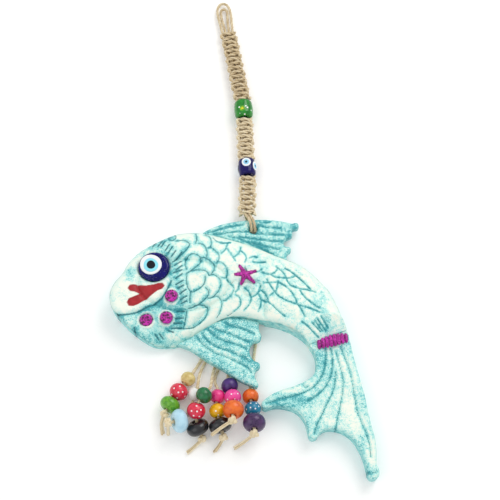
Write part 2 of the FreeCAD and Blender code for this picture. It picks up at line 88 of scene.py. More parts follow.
def make_stage():
    mesh = bpy.data.meshes.new("floor")
    half = 3.0
    mesh.from_pydata([(-half, -half, 0), (half, -half, 0), (half, half, 0),
                      (-half, half, 0)], [], [(0, 1, 2, 3)])
    floor = bpy.data.objects.new("floor", mesh)
    scene.collection.objects.link(floor)
    paper = Nodes("floor_paper")
    mottle = paper.noise(2.0, 3, 0.5)
    paper.bsdf(paper.ramp(mottle, [(0.3, (0.93, 0.928, 0.92)), (0.7, (0.96, 0.957, 0.95))]),
               roughness=0.8, specular=0.2)
    paper.shader.inputs["Emission Color"].default_value = (1, 1, 1, 1)
    paper.shader.inputs["Emission Strength"].default_value = PAPER_GLOW
    floor.data.materials.append(paper.material)
    world = bpy.data.worlds.new("studio")
    world.use_nodes = True
    world.node_tree.nodes["Background"].inputs[0].default_value = (1, 1, 1, 1)
    world.node_tree.nodes["Background"].inputs[1].default_value = WORLD_LIGHT
    scene.world = world
    scene.view_settings.view_transform = "Standard"
    area_light("key", (0.55, 0.75, 0.95), 0.8, KEY_LIGHT, (1.0, 0.99, 0.97))
    area_light("fill", (-0.7, -0.35, 0.9), 0.9, FILL_LIGHT, (0.97, 0.99, 1.0))


# --- materials --------------------------------------------------------------------

class Nodes:
    """A material and short ways to add the nodes that these pieces use."""

    def __init__(self, name):
        self.material = bpy.data.materials.new(name)
        self.material.use_nodes = True
        self.tree = self.material.node_tree
        self.shader = self.tree.nodes["Principled BSDF"]
        self.coords = self.tree.nodes.new("ShaderNodeTexCoord").outputs["Object"]

    def link(self, source, socket):
        if isinstance(source, (int, float)):
            socket.default_value = source
        elif isinstance(source, tuple):
            socket.default_value = (*source, 1.0)
        else:
            self.tree.links.new(source, socket)

    def noise(self, size, detail=3, roughness=0.55, offset=0.0, stretch=None):
        """Noise from 0 to 1 whose lumps are about size millimetres across."""
        node = self.tree.nodes.new("ShaderNodeTexNoise")
        node.inputs["Scale"].default_value = 1.0
        node.inputs["Detail"].default_value = detail
        node.inputs["Roughness"].default_value = roughness
        place = self.tree.nodes.new("ShaderNodeMapping")
        scale = 1.0 / (size * MM)
        place.inputs["Scale"].default_value = [scale * s for s in (stretch or (1, 1, 1))]
        place.inputs["Location"].default_value = (offset, offset * 0.7, offset * 0.3)
        self.tree.links.new(self.coords, place.inputs["Vector"])
        self.tree.links.new(place.outputs[0], node.inputs["Vector"])
        return node.outputs["Fac"]

    def cells(self, size):
        """Distance from the middle of the nearest of many cells, size mm apart."""
        node = self.tree.nodes.new("ShaderNodeTexVoronoi")
        node.inputs["Scale"].default_value = 1.0 / (size * MM)
        self.tree.links.new(self.coords, node.inputs["Vector"])
        return node.outputs["Distance"]

    def attribute(self, name):
        node = self.tree.nodes.new("ShaderNodeAttribute")
        node.attribute_name = name
        return node.outputs["Fac"]

    def math(self, operation, *values):
        node = self.tree.nodes.new("ShaderNodeMath")
        node.operation = operation
        for value, socket in zip(values, node.inputs):
            self.link(value, socket)
        return node.outputs[0]

    def add(self, first, *others):
        for other in others:
            first = self.math("ADD", first, other)
        return first

    def times(self, a, b):
        return self.math("MULTIPLY", a, b)

    def span(self, value, low, high, to_low=0.0, to_high=1.0):
        """value's stretch from low to high turned smoothly into to_low to to_high."""
        node = self.tree.nodes.new("ShaderNodeMapRange")
        node.interpolation_type = "SMOOTHSTEP"
        self.link(value, node.inputs["Value"])
        node.inputs["From Min"].default_value = low
        node.inputs["From Max"].default_value = high
        node.inputs["To Min"].default_value = to_low
        node.inputs["To Max"].default_value = to_high
        return node.outputs["Result"]

    def ramp(self, value, stops):
        node = self.tree.nodes.new("ShaderNodeValToRGB")
        points = node.color_ramp.elements
        while len(points) < len(stops):
            points.new(0.5)
        for point, (place, colour) in zip(points, stops):
            point.position = place
            point.color = (*colour, 1.0)
        self.link(value, node.inputs[0])
        return node.outputs["Color"]

    def mix(self, factor, a, b):
        node = self.tree.nodes.new("ShaderNodeMix")
        node.data_type = "RGBA"
        self.link(factor, node.inputs[0])
        self.link(a, node.inputs[6])
        self.link(b, node.inputs[7])
        return node.outputs[2]

    def dots(self, centres, radius):
        """1 inside any of the dots; their middles and radius are in millimetres."""
        total = 0.0
        for centre in centres:
            node = self.tree.nodes.new("ShaderNodeVectorMath")
            node.operation = "DISTANCE"
            self.tree.links.new(self.coords, node.inputs[0])
            node.inputs[1].default_value = [c * MM for c in centre]
            near = self.span(node.outputs["Value"], radius * MM * 0.82,
                             radius * MM * 1.12, 1.0, 0.0)
            total = near if total == 0.0 else self.math("MAXIMUM", total, near)
        return total

    def bump(self, height, distance):
        node = self.tree.nodes.new("ShaderNodeBump")
        node.inputs["Distance"].default_value = distance * MM
        self.link(height, node.inputs["Height"])
        self.tree.links.new(node.outputs[0], self.shader.inputs["Normal"])

    def bsdf(self, colour, roughness, specular, coat=0.0, coat_roughness=0.05, sheen=0.0):
        self.link(colour, self.shader.inputs["Base Color"])
        self.link(roughness, self.shader.inputs["Roughness"])
        self.shader.inputs["Specular IOR Level"].default_value = specular
        self.shader.inputs["Coat Weight"].default_value = coat
        self.shader.inputs["Coat Roughness"].default_value = coat_roughness
        self.shader.inputs["Sheen Weight"].default_value = sheen
        return self.material


# --- mesh helpers -----------------------------------------------------------------

def add_piece(name, mesh, body, slot, material, *replaced, at=None):
    """A piece from a mesh; with at, the mesh is turned and put in that place."""
    piece = bpy.data.objects.new(name, mesh)
    scene.collection.objects.link(piece)
    if at is not None:
        mesh.transform(at.to_3x3().to_4x4())
        piece.location = at.translation
        bpy.context.view_layer.update()
    mesh.materials.clear()
    mesh.materials.append(material)
    mesh.polygons.foreach_set("use_smooth", [True] * len(mesh.polygons))
    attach(piece, body)
    if replaced:
        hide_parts(*replaced)
    return piece


def evaluated(piece):
    graph = bpy.context.evaluated_depsgraph_get()
    return bpy.data.meshes.new_from_object(piece.evaluated_get(graph))


def remeshed(source, name, voxel, rounding):
    """One smooth solid in small even faces, made from a mesh whose parts may overlap."""
    work = bpy.data.objects.new(name + "_work", source)
    scene.collection.objects.link(work)
    remesh = work.modifiers.new("remesh", "REMESH")
    remesh.mode = "VOXEL"
    remesh.voxel_size = voxel * MM
    smooth = work.modifiers.new("smooth", "SMOOTH")
    smooth.iterations = rounding
    mesh = evaluated(work)
    bpy.data.objects.remove(work)
    mesh.name = name
    return mesh


def node_clay(node, voxel):
    """A clay node's mesh with its edges rounded, ready for relief."""
    return remeshed(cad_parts[node].data.copy(), node + "_clay", voxel, 6)


def get_points(mesh):
    points = np.empty(len(mesh.vertices) * 3)
    mesh.vertices.foreach_get("co", points)
    return points.reshape(-1, 3) / MM


def set_points(mesh, points):
    mesh.vertices.foreach_set("co", (points * MM).ravel())
    mesh.update()


def get_normals(mesh):
    normals = np.empty(len(mesh.vertices) * 3)
    mesh.vertices.foreach_get("normal", normals)
    return normals.reshape(-1, 3)


def store(mesh, name, values):
    layer = mesh.attributes.new(name, "FLOAT", "POINT")
    layer.data.foreach_set("value", values.astype(np.float32))


def smoothed_line(points, steps=6):
    """A soft curve through given points, in the plane or in space."""
    if len(points) < 3:
        return np.array(points, float)
    places = np.array([points[0], *points, points[-1]], float)
    line = []
    for a, b, c, d in zip(places, places[1:], places[2:], places[3:]):
        for k in range(steps):
            t = k / steps
            line.append(0.5 * (2 * b + (c - a) * t + (2 * a - 5 * b + 4 * c - d) * t * t
                               + (3 * b - a - 3 * c + d) * t ** 3))
    line.append(places[-1])
    return np.array(line)


def line_distance(points, line):
    """Each point's distance from a line, seen from above; huge beyond reach."""
    reach = 7.0
    best = np.full(len(points), 1e9)
    low = line.min(axis=0) - reach
    high = line.max(axis=0) + reach
    near = np.all((points[:, :2] > low) & (points[:, :2] < high), axis=1)
    if not near.any():
        return best
    flat = points[near, :2]
    found = np.full(len(flat), 1e9)
    for a, b in zip(line, line[1:]):
        run = b - a
        share = np.clip(((flat - a) @ run) / max(run @ run, 1e-9), 0, 1)
        found = np.minimum(found, np.hypot(*(flat - a - share[:, None] * run).T))
    best[near] = found
    return best


def inside_distance(points, outline):
    """Signed distance from a closed outline, positive inside, seen from above."""
    ring = np.vstack([outline, outline[:1]])
    edge = line_distance(points, ring)
    inside = np.zeros(len(points), bool)
    x, y = points[:, 0], points[:, 1]
    for (ax, ay), (bx, by) in zip(ring, ring[1:]):
        crosses = (ay > y) != (by > y)
        with np.errstate(divide="ignore", invalid="ignore"):
            at = (bx - ax) * (y - ay) / (by - ay) + ax
        inside ^= crosses & (x < at)
    return np.where(inside, edge, -edge)


def step(values, low, high):
    """0 below low, 1 above high, and smooth between."""
    share = np.clip((values - low) / (high - low), 0, 1)
    return share * share * (3 - 2 * share)


def blob(points, x, y, wide, tall, turn=0.0):
    """1 at a place, falling to 0 at an oval's edge."""
    angle = math.radians(turn)
    dx = points[:, 0] - x
    dy = points[:, 1] - y
    along = (dx * math.cos(angle) + dy * math.sin(angle)) / wide
    across = (dy * math.cos(angle) - dx * math.sin(angle)) / tall
    return 1 - step(np.hypot(along, across), 0.35, 1.0)


def waves(points, size, seed):
    """Smooth repeatable unevenness between about -1 and 1."""
    total = np.zeros(len(points))
    for k in range(5):
        angle = 2.4 * k + seed
        turn = np.array([math.cos(angle), math.sin(angle), 0.6 * math.sin(3 * angle)])
        total += np.sin(points @ turn / size * (1 + 0.37 * k) + 1.7 * k * seed)
    return total / 3.2


# --- incised lines in the clay ------------------------------------------------------

SCALE_LINES = [
    # behind the gill
    [(-47.5, 75), (-43, 75.5), (-39.5, 74.5), (-37.3, 72.2), (-38.5, 68.8),
     (-41, 65.2), (-44.5, 61.8), (-48.2, 58)],
    [(-39.7, 58), (-37.5, 62.3), (-34.3, 64), (-30.8, 62.7), (-28.8, 60),
     (-29.3, 56.2), (-32.5, 53), (-35.8, 50.3)],
    [(-39.6, 60), (-39.8, 55.5), (-38.7, 51.5)],
    [(-38.4, 46.5), (-38.3, 48.4), (-35, 50.2), (-31, 51), (-27, 50.8), (-23.8, 49.3),
     (-22.5, 47)],
    [(-25.3, 46.5), (-25.5, 42.5), (-27.2, 39.3), (-30.3, 36.8), (-33.3, 35.2),
     (-35.3, 35.2), (-37.4, 38), (-38.5, 42.5), (-38.4, 46.5)],
    [(-25, 38), (-22.8, 35.5), (-23.3, 32.2), (-26.3, 29), (-29.6, 26.5),
     (-33.4, 24.6), (-37, 23.6)],
    [(-35.4, 35), (-36, 31.5), (-35.8, 27.5)],
    [(-33, 25.4), (-29, 26), (-25.5, 25.6), (-23.3, 24), (-23.5, 21), (-24.7, 18),
     (-27.5, 14.8), (-31.8, 11.9), (-36.8, 10.2), (-43, 10.2)],
    [(-38.2, 22), (-38.9, 16), (-40.3, 11)],
    # second row
    [(-33.3, 81.5), (-32.4, 79), (-32.2, 76), (-33, 72.8)],
    [(-30.7, 72.5), (-27.6, 71.8), (-25.6, 69.3), (-24.3, 65), (-24.6, 61.2)],
    [(-26.5, 80.5), (-23.1, 79), (-21.5, 74.5), (-22, 70), (-24, 68.8)],
    [(-28.8, 60.5), (-26.5, 60.8), (-24.3, 59.8), (-21, 57.6), (-18.9, 54.8),
     (-19, 51.2), (-20.9, 48.4)],
    [(-22.7, 47), (-19.8, 47.6), (-17, 46.3), (-14.7, 43.8), (-14.2, 40.5),
     (-15.4, 36.5), (-17.5, 33.5), (-20.6, 31), (-23.3, 30.6)],
    [(-20.6, 31), (-17.5, 32), (-15, 31), (-13.4, 27.8), (-13.7, 24), (-15, 20.3),
     (-16.8, 17.2)],
    # third row
    [(-22, 70), (-19.2, 67), (-16.6, 64.3), (-15.6, 62), (-15.9, 59), (-17.5, 56.2)],
    [(-9.8, 73), (-10.4, 69.3), (-12.3, 66), (-14.3, 64.4)],
    [(-20.5, 78), (-18.5, 75.5), (-16.2, 74), (-13, 72.9), (-8, 73.6)],
    [(-16.5, 57.4), (-14, 57), (-11.6, 55), (-10, 52), (-9.6, 49.3), (-10.5, 45.8),
     (-13.6, 45.2)],
    [(-9.7, 44), (-7, 40.7), (-5, 37.5), (-6, 33.6), (-8.2, 31), (-10.7, 29),
     (-12.6, 29)],
    [(-3.8, 33), (-1, 31), (0, 27.8), (-0.3, 25.3), (-2.6, 22.8), (-6.3, 20),
     (-9.5, 18.6)],
    # round the starfish
    [(-10, 68.5), (-7.3, 64.3), (-5.8, 61.3), (-3.8, 58.2)],
    [(-0.1, 69.8), (-0.8, 66), (-3, 62.8), (-5.2, 61.5)],
    [(0, 66.6), (2.5, 64.2), (3.9, 60.6), (2.8, 57.4)],
    [(-1, 41.5), (-1.6, 37.5), (-3.8, 34.6)],
    [(3.1, 37.7), (6, 34.3), (7.4, 29.6), (5.7, 25.2), (2.3, 21.8)],
    [(7.6, 31), (11.3, 32.8), (13.2, 36), (14, 39.5)],
    [(12.9, 32.8), (14.3, 29), (14, 24.6), (12.3, 20.6)],
    [(14.5, 36), (17, 34.2), (18.9, 30.3), (19.7, 27.2), (22.6, 24.7), (26.4, 20.8),
     (31, 16.8)],
    [(15, 28.8), (19.8, 27)],
    # long leaves towards the tail
    [(14.7, 49.4), (20.3, 48), (24.5, 49.7), (26.2, 52.8)],
    [(21.5, 47.6), (24.3, 45.8), (28.9, 45.3), (33.4, 45.2), (36.8, 45.8), (39, 47.6)],
    [(25.3, 54), (28, 51.6), (30.5, 49.2), (32.3, 45.3), (33.4, 42.2), (36.2, 39.2),
     (41.2, 37.3), (48, 36), (53, 34.6)],
    [(31.7, 52.8), (35.8, 50.3), (39.6, 47), (43.6, 43.3), (47.4, 39), (49.7, 36.4)],
    [(42, 36), (44, 32.3), (47.3, 28.8), (50.6, 25.8), (55.5, 22.6)],
    [(16.3, 41.4), (20.3, 41.6), (26.5, 41.5), (30, 39.9), (34, 36.8), (36.7, 33),
     (38.8, 29), (39.6, 26), (42.8, 21), (45, 16.5)],
    [(18.5, 44.2), (20.7, 40), (23, 36.3), (26.2, 32), (31.3, 28.7), (35.8, 26.7),
     (41, 24.7), (46, 23.2), (52, 21), (56, 19.2)],
    [(26.5, 42.5), (25.8, 38), (25, 35.2)],
    [(20.8, 32), (23.5, 34.2)],
    [(9.5, 49.5), (12.5, 50), (14.8, 51.5)],
    [(6, 60.5), (9, 62), (11.5, 61.2)],
    [(9, 57.5), (13, 57), (17.5, 57.5)],
    # comb above the tail band
    [(50, 12), (55.8, 6.3)], [(52, 13.3), (57.3, 6.8)], [(53.3, 15.3), (59.6, 7)],
    [(56.3, 16.6), (61, 9)], [(43, 12.5), (47.5, 9), (54.3, 2.6)],
]

LASHES = [
    [(-62.3, 74), (-64, 70.5)], [(-57.2, 76), (-60, 70.5)], [(-55.3, 75), (-57.6, 70.3)],
    [(-52, 72), (-54.5, 67)], [(-49.5, 70), (-52.6, 64.5)], [(-47, 66.5), (-50, 61.8)],
    [(-42.5, 65.5), (-45.5, 61), (-49, 57.5)], [(-42.4, 58), (-47.2, 54.6)],
    [(-42, 54.3), (-46.3, 51)], [(-42, 51), (-48, 48.8)], [(-41.7, 48), (-46.3, 44.5)],
    [(-41, 43), (-46, 40)], [(-40.5, 39.6), (-44.5, 37.8)], [(-38.8, 36.6), (-43, 33.8)],
    [(-38.3, 32), (-42.5, 29.6)], [(-38, 28.5), (-42, 26.8)], [(-40, 21.8), (-45, 21.5)],
    [(-40.6, 17), (-46, 16.6)], [(-41.5, 13.6), (-47, 13.4)], [(-42, 10.4), (-48.5, 10)],
    [(-60, 5.4), (-57.6, 2.2)], [(-57, 6), (-54.6, 3)], [(-51, 8.4), (-47.4, 7.4)],
    [(-74.5, 9.6), (-74, 6.6)],
]

LIP_LINE = [(-91.5, 18.6), (-84.5, 18.1), (-77, 18.8), (-72, 20.5), (-67, 23.4),
            (-61, 26.2), (-56.4, 29.6), (-53.6, 33.5), (-51.2, 38.5), (-49.4, 43)]

MOUTH = [(-79.5, 37.3), (-78.3, 39.3), (-75.2, 39.7), (-71.3, 39), (-67, 38.7),
         (-61.5, 39.8), (-58.3, 40.9), (-55.8, 41), (-54.4, 39.2), (-55.8, 37.2),
         (-59, 36), (-62, 33.6), (-65, 31), (-68.8, 28.4), (-72.5, 26), (-75.5, 24.8),
         (-78.5, 24.8), (-79.6, 26.8), (-78.5, 29.3), (-75.5, 30.6), (-73, 31.7),
         (-70.5, 33.2), (-73, 34.3), (-75.5, 35.2), (-78, 35.5)]

UPPER_LIP = [(-89, 37.5), (-85.5, 41), (-81.5, 43.6), (-76, 43.4), (-70, 42.8), (-62, 43.8),
             (-55, 45.4), (-50, 48.8)]

BELLY_RIM = [(-50, 4.6), (-43, 6.6), (-37, 8), (-30, 10.2), (-24, 13), (-18, 16.2),
             (-12, 18.2), (-5, 19.6), (3, 20.2), (12, 19.6), (22, 17.6), (32, 14.2),
             (41, 9.6), (47, 5)]
BACK_RIM = [(-52, 80), (-46, 81.6), (-38, 81.6), (-28, 80.6), (-18, 78), (-8, 75),
            (4, 71), (14, 67.2), (24, 62.8), (34, 58.6), (43, 54), (51, 47.6),
            (58, 39.6), (63.6, 31), (67.6, 21)]

TAIL_LINES = [
    [(59.5, -5), (59.5, -10.5), (57.8, -20.5), (55.6, -25.3), (52.8, -30),
     (46.4, -34.8), (38.5, -38), (29.3, -40.2), (21.4, -42.6), (17.5, -43.8)],
    [(63, -5), (63.7, -12.5), (63.5, -19), (62, -25.3), (58, -32.6), (52.4, -38),
     (46, -42)],
    [(65.8, -22), (65.2, -28.5), (63, -36.5), (59.5, -43), (55.7, -50.8),
     (51.9, -58.5), (50, -64.5)],
    [(66.3, -7), (68.6, -16.5), (70.3, -24.5), (70.4, -32.5), (69, -41.3),
     (66.7, -50.8), (65, -58.5), (64.4, -63)],
    [(69.9, -4), (71.7, -9.8), (74.2, -17), (76.3, -25), (77.5, -33), (78.3, -41),
     (79.8, -50.5), (82.6, -58), (85.4, -65.8), (87, -73.3), (87.2, -80)],
    [(83.6, -89.4), (86.4, -90.6), (90.6, -89.8)],
    [(43, -31), (44.6, -32.6), (46.6, -31.8)],
]

BELLY_LINES = [
    [(-30.8, 4.2), (-29.2, 1.7), (-27, -1), (-23.5, -4.2), (-20, -6.5), (-16, -8.5),
     (-11.5, -9.8), (-7.1, -12), (-2.6, -14.2), (1.7, -16.4), (5.2, -18.6),
     (7.5, -21.8)],
    [(-27.2, 6.3), (-25, 3), (-22.3, 0.3), (-19.2, -2), (-15.2, -3.8), (-10.7, -5.6),
     (-6.3, -6.9), (-1.9, -9.2), (2.1, -11), (6.4, -14)],
    [(-23.6, 10), (-21.1, 7.2), (-18, 4.5), (-14.5, 2.2), (-10.9, 0.8), (-6, -0.6),
     (-1, -2.4), (4, -4.6)],
    [(-20.3, 11.6), (-17.2, 9.5), (-12.7, 7.7), (-8.2, 6.3), (-2.9, 3.8), (1.5, 1.9),
     (6, 0.2)],
    [(-11, 14.4), (-8.2, 12.5), (-5.1, 11.4), (-0.2, 10.2), (4.2, 8.6), (9.4, 6)],
]

DORSAL_LINES = [
    [(-24.5, 84.2), (-19.8, 85.2), (-14.5, 87), (-8.2, 88.6), (-3, 89.6), (2, 90.2)],
    [(-20.5, 82.6), (-14.5, 82.8), (-9.2, 83.8), (-3, 84.4), (5, 84.7)],
    [(-9, 80.6), (-3, 79.8), (3, 76.8), (7.7, 74.4), (12.4, 72.8), (17.2, 69.6),
     (23, 67)],
    [(12.4, 89.6), (16, 88.8), (22, 88), (29, 87.4)],
    [(-2, 80.6), (8, 79.2), (20, 77.4), (30, 77)],
    [(10, 83.4), (20, 82.4), (31, 82)],
    [(8, 75.6), (18, 73), (28, 70.6)],
    [(17, 92), (21, 92.2)],
]


# --- the clay fish ----------------------------------------------------------------

def distance_to_lines(points, lines):
    best = np.full(len(points), 30.0)
    for line in lines:
        best = np.minimum(best, line_distance(points, smoothed_line(line)))
    return best


def groove(distance, wide, deep):
    """How far a line lowers the clay at a distance from it."""
    return -deep * np.exp(-(distance / wide) ** 2)


def dome_height(x, y):
    """The top of the fish's body: part of a ring's rounded crown."""
    out = np.hypot(x + 26, y + 65) - 114
    return 19.5 - 90 + np.sqrt(8100 - out * out)


def flattened(points, top):
    """Put the top surface exactly at its height, and say how much each point is on it."""
    up = step(points[:, 2] - top, -1.7, -0.8)
    points[:, 2] = points[:, 2] * (1 - up) + top * up
    return up


def edge_distance(mesh, points, top):
    """Each point's distance, seen from above, from the nearest side wall."""
    flat = np.abs(get_normals(mesh)[:, 2]) < 0.3
    walls = points[flat & (points[:, 2] < top - 2.2) & (points[:, 2] > 2)][::2]
    tree = KDTree(len(walls))
    for k, wall in enumerate(walls):
        tree.insert((wall[0], wall[1], 0), k)
    tree.balance()
    return np.array([tree.find((x, y, 0))[2] for x, y in points[:, :2]])


def clear_of_seam(edge, x, y):
    """The fish's body and tail are one surface: no rounded edge where they meet."""
    seam = np.abs((x - 47.2) * -0.3226 + (y + 2.0) * 0.9462)
    return edge + 7 * step(5.5 - seam, 0, 4) * step(x, 44, 47)


def rounded(points, up, edge, reach, drop):
    """Round the top surface over towards the side walls."""
    share = np.clip(1 - edge / reach, 0, 1)
    fall = drop * (1 - np.sqrt(np.clip(1 - share * share, 0, 1)))
    points[:, 2] -= fall * up


def finish_clay(node, mesh, points, rise, up, masks, glaze, slot):
    """Raise the top surface by rise, store the masks and put the piece in place."""
    points = points.copy()
    rough = 0.10 * waves(points, 1.7, 1.0) + 0.16 * waves(points, 5.0, 2.0)
    points[:, 2] += np.minimum(rise + rough, 0.25) * up
    side = get_normals(mesh)[:, :2] * ((1 - up) * 0.12 * waves(points, 3.1, 3.0))[:, None]
    points[:, :2] += np.where(up[:, None] < 0.9, side, 0)
    set_points(mesh, points)
    for name, values in masks.items():
        store(mesh, name, values)
    add_piece(node + "_clay", mesh, "fish", slot, clay_material(glaze), node)


# Buttons on the cheek: middle and foot, in the order they are made.
CHEEK_BUTTONS = {"cheek_button_upper": (-48.9, 31.5, 17.0),
                 "cheek_button_front": (-66.4, 15.1, 12.6),
                 "cheek_button_back": (-52.2, 16.6, 13.2)}

# The end of the mouth's curl behind the eye, and the middle of the tail band.
CURL_X, CURL_Y = -50.9, 78
BAND_X, BAND_Y = 64.3, 0.1

# Patches of wash: amount, middle, half width and half height, turn in degrees.
BODY_PATCHES = [
    (0.26, -78.5, 48, 8.5, 6, 60), (0.30, CURL_X, CURL_Y, 4, 4), (0.60, 56, 29, 6.5, 6, -50),
    (0.40, 60, 17, 4, 8, 25), (0.50, 16.5, 55, 5, 6, 10), (0.30, 12, 61, 4, 3),
    (0.45, 40, 13.5, 13, 4.5, -25), (0.50, -22.5, 69, 2, 2.4), (0.60, -8.5, 73.4, 3.2, 1.3, 5),
    (0.35, 62, 8, 4, 6), (0.20, -42, 68, 5, 6), (0.10, -44, 40, 5, 12)]


def patches(points, table):
    """The sum of a table's patches at each point."""
    return sum(amount * blob(points, *oval) for amount, *oval in table)


def ridge(distance, wide):
    """1 on a line, falling softly to 0 beyond the width."""
    return np.exp(-(distance / wide) ** 2)


def make_body():
    mesh = node_clay("fish_body", 0.55)
    points = get_points(mesh)
    x, y = points[:, 0], points[:, 1]
    top = dome_height(x, y)
    edge = clear_of_seam(edge_distance(mesh, points, top), x, y)
    up = flattened(points, top)
    rounded(points, up, edge, 4.6, 2.6)
    # The body sinks towards the tail band.
    beyond = (x - BAND_X) * -0.363 + (y + 1.6) * 0.932
    sunk = 13.4 + np.clip(beyond - 4.5, 0, 30) * 0.42
    points[:, 2] = np.where(x > 40, np.minimum(points[:, 2], sunk), points[:, 2])

    lip_line = smoothed_line(LIP_LINE)
    lip = line_distance(points, lip_line)
    upper_lip = line_distance(points, smoothed_line(UPPER_LIP))
    face = np.vstack([lip_line, [(-60, 62), (-96, 62), (-96, 18.6)]])
    lip_side = step(inside_distance(points, face), 0.2, 1.4)
    mouth = inside_distance(points, np.array(MOUTH, float))
    head = step(-x - 0.16 * (y - 40), 40, 45)
    scales = distance_to_lines(points, SCALE_LINES) * (1 + 1.4 * step(x, -26, 6))
    lashes = distance_to_lines(points, LASHES) * 0.6
    belly_rim = line_distance(points, smoothed_line(BELLY_RIM))
    back_rim = line_distance(points, smoothed_line(BACK_RIM))
    curl_turn = np.arctan2(y - CURL_Y, x - CURL_X)
    curl_far = np.hypot(x - CURL_X, y - CURL_Y)
    curl = np.abs((curl_far - 0.55 * (curl_turn + math.pi)) % 3.4 - 1.7)
    curl = np.where(curl_far < 4.4, curl, 9.0)
    buttons = [np.hypot(x - bx, y - by) for bx, by, _ in CHEEK_BUTTONS.values()]

    rise = groove(scales, 0.75, 0.9) + 0.35 * step(scales, 0.4, 3.2) * (1 - head)
    rise += groove(lashes, 0.8, 0.7) + groove(lip, 1.3, 1.1) + groove(upper_lip, 1.1, 0.5)
    rise += 0.8 * step(lip, 1.0, 3.5) * (mouth < 0) * step(y - 0.42 * x, 55, 60)
    rise += np.where(mouth > -1.2, 0.45 * step(mouth, -0.2, 1.2)
                     - 0.5 * np.exp(-(mouth + 0.5) ** 2 / 0.3), 0)
    rise += np.where(mouth < 0, 0.7 * ridge(mouth + 2.2, 1.6), 0)
    rise += 0.55 * ridge(belly_rim, 2.2) - 0.1 + 0.35 * ridge(back_rim, 1.8)
    for far in buttons:
        rise += 0.5 * np.exp(-(far - 5.3) ** 2 / 0.5) - 0.45 * np.exp(-(far - 7.0) ** 2 / 0.6)
    rise += np.where(curl_far < 4.6, 0.5 * step(4.6 - curl_far, 0, 1), 0)
    rise += groove(curl, 0.6, 0.5)

    gill = blob(points, -45, 34, 8, 34, 8) * step(y, 6, 14)
    wash = 0.20 + 0.24 * step(x, -20, 15) + patches(points, BODY_PATCHES)
    wash += 0.12 * gill * (1 - 0.5 * step(scales, 0.5, 4) * (1 - head))
    wash += 0.30 * blob(points, -57, 22, 22, 17, 35) * (1 - lip_side)
    wash += 0.22 * step(36 - y + 0.30 * x, 0, 14) * head * (1 - lip_side)
    wash += 0.34 * step(13 - beyond, 0, 10) * step(x, 38, 46) + 0.16 * ridge(upper_lip, 1.2)

    pale = 0.55 * lip_side * head * (1 - blob(points, -78.5, 48, 9, 6.5, 60))
    for far in buttons:
        pale = np.maximum(pale, 0.95 * ridge(far - 5.2, 0.75))
    pale = np.maximum(pale, (0.9 - 0.6 * step(x, -5, 20)) * ridge(belly_rim, 2.6))
    pale = np.maximum(pale, 0.55 * ridge(back_rim, 2.0))

    masks = {"rim": step(5.0 - edge, 0, 4),
             "line": np.minimum(np.minimum(scales, lashes), np.minimum(lip * 0.6, curl)),
             "wash": np.clip(wash, 0, 0.75), "pale": np.clip(pale, 0, 1) * up,
             "wall": 1 - up, "paint": step(mouth, -0.75, -0.25) * up,
             "scale": step(scales, 0.3, 5.0) * (1 - head)}
    finish_clay("fish_body", mesh, points, rise, up, masks, "body_glaze", "glazed_clay")


# For each fin: its creases and their depth, its thickness, how much white speckle
# and wash it has, patches of more wash, and groups of patches rubbed pale.
FINS = {
    "tail_fin": (
        TAIL_LINES, 0.9, 13.0, 0.75, 0.44, [(0.38, 34, -43, 20, 6, 8), (0.25, 56, -8, 5, 16)],
        [[(0.55, 74, -38, 9, 40, 8), (0.35, 62, -52, 16, 14)], [(0.6, 88, -78, 5, 14, 4)],
         [(0.4, 40, -33, 16, 3.4, 12)]]),
    "belly_fin": (
        BELLY_LINES, 0.9, 11.5, 1.0, 0.66, [(0.25, -9, 12.5, 6, 3.5, -25), (0.25, 9, -15, 4, 5)],
        [[(0.4, -14, -9, 26, 5, -28), (0.35, 6, -26, 5, 8)]]),
    "dorsal_fin": (
        DORSAL_LINES, 0.7, 10.5, 0.9, 0.60,
        [(0.3, 39, 88.4, 4, 3), (0.3, 34.5, 81, 4, 3), (0.25, 15, 73, 12, 4, -25),
         (0.35, 18, 92, 3, 1.2)],
        [[(0.35, -6, 82, 16, 3, 8)]]),
}


def make_fin(node):
    lines, deep, height, speckle, base, washed, rubbed = FINS[node]
    mesh = node_clay(node, 0.5)
    points = get_points(mesh)
    x, y = points[:, 0], points[:, 1]
    edge = edge_distance(mesh, points, height)
    if node == "tail_fin":
        edge = clear_of_seam(edge, x, y)
    up = flattened(points, height)
    rounded(points, up, edge, 3.0, 1.7)
    line = distance_to_lines(points, lines)
    rise = groove(line, 0.8, deep) + 0.3 * step(line, 0.5, 2.6)
    if node == "tail_fin":
        # a small boss at the tip
        rise += 0.5 * ridge(np.hypot(x - 88.6, y + 92), 3.5)
    if node == "dorsal_fin":
        # a ring round the hole
        rim = np.hypot(x - 9, y - 86.5)
        rise -= 0.4 * np.exp(-(rim - 3.4) ** 2 / 0.7)
        line = np.minimum(line, np.abs(rim - 3.2) + 0.2)
    none = np.zeros(len(points))
    pale = np.max([patches(points, group) for group in rubbed], axis=0)
    masks = {"rim": step(3.0 - edge, 0, 2.5), "line": line * 1.6,
             "wash": np.clip(base + patches(points, washed), 0, 1),
             "pale": np.clip(pale, 0, 1) * up, "wall": 1 - up, "paint": none, "scale": none,
             "speckle": none + speckle}
    finish_clay(node, mesh, points, rise, up, masks, node + "_glaze", "fin_clay")


# Wash colours from bare clay to the bottom of a crease, and the red of the mouth.
IVORY = (0.92, 0.95, 0.84)
PALE = (0.68, 0.90, 0.82)
LIGHT = (0.44, 0.82, 0.77)
MIDDLE = (0.20, 0.63, 0.63)
DARK = (0.05, 0.36, 0.40)
DEEP = (0.012, 0.145, 0.175)
WARM = (0.93, 0.90, 0.76)
DARK_RED = (0.33, 0.010, 0.016)
LIP_RED = (0.45, 0.018, 0.026)


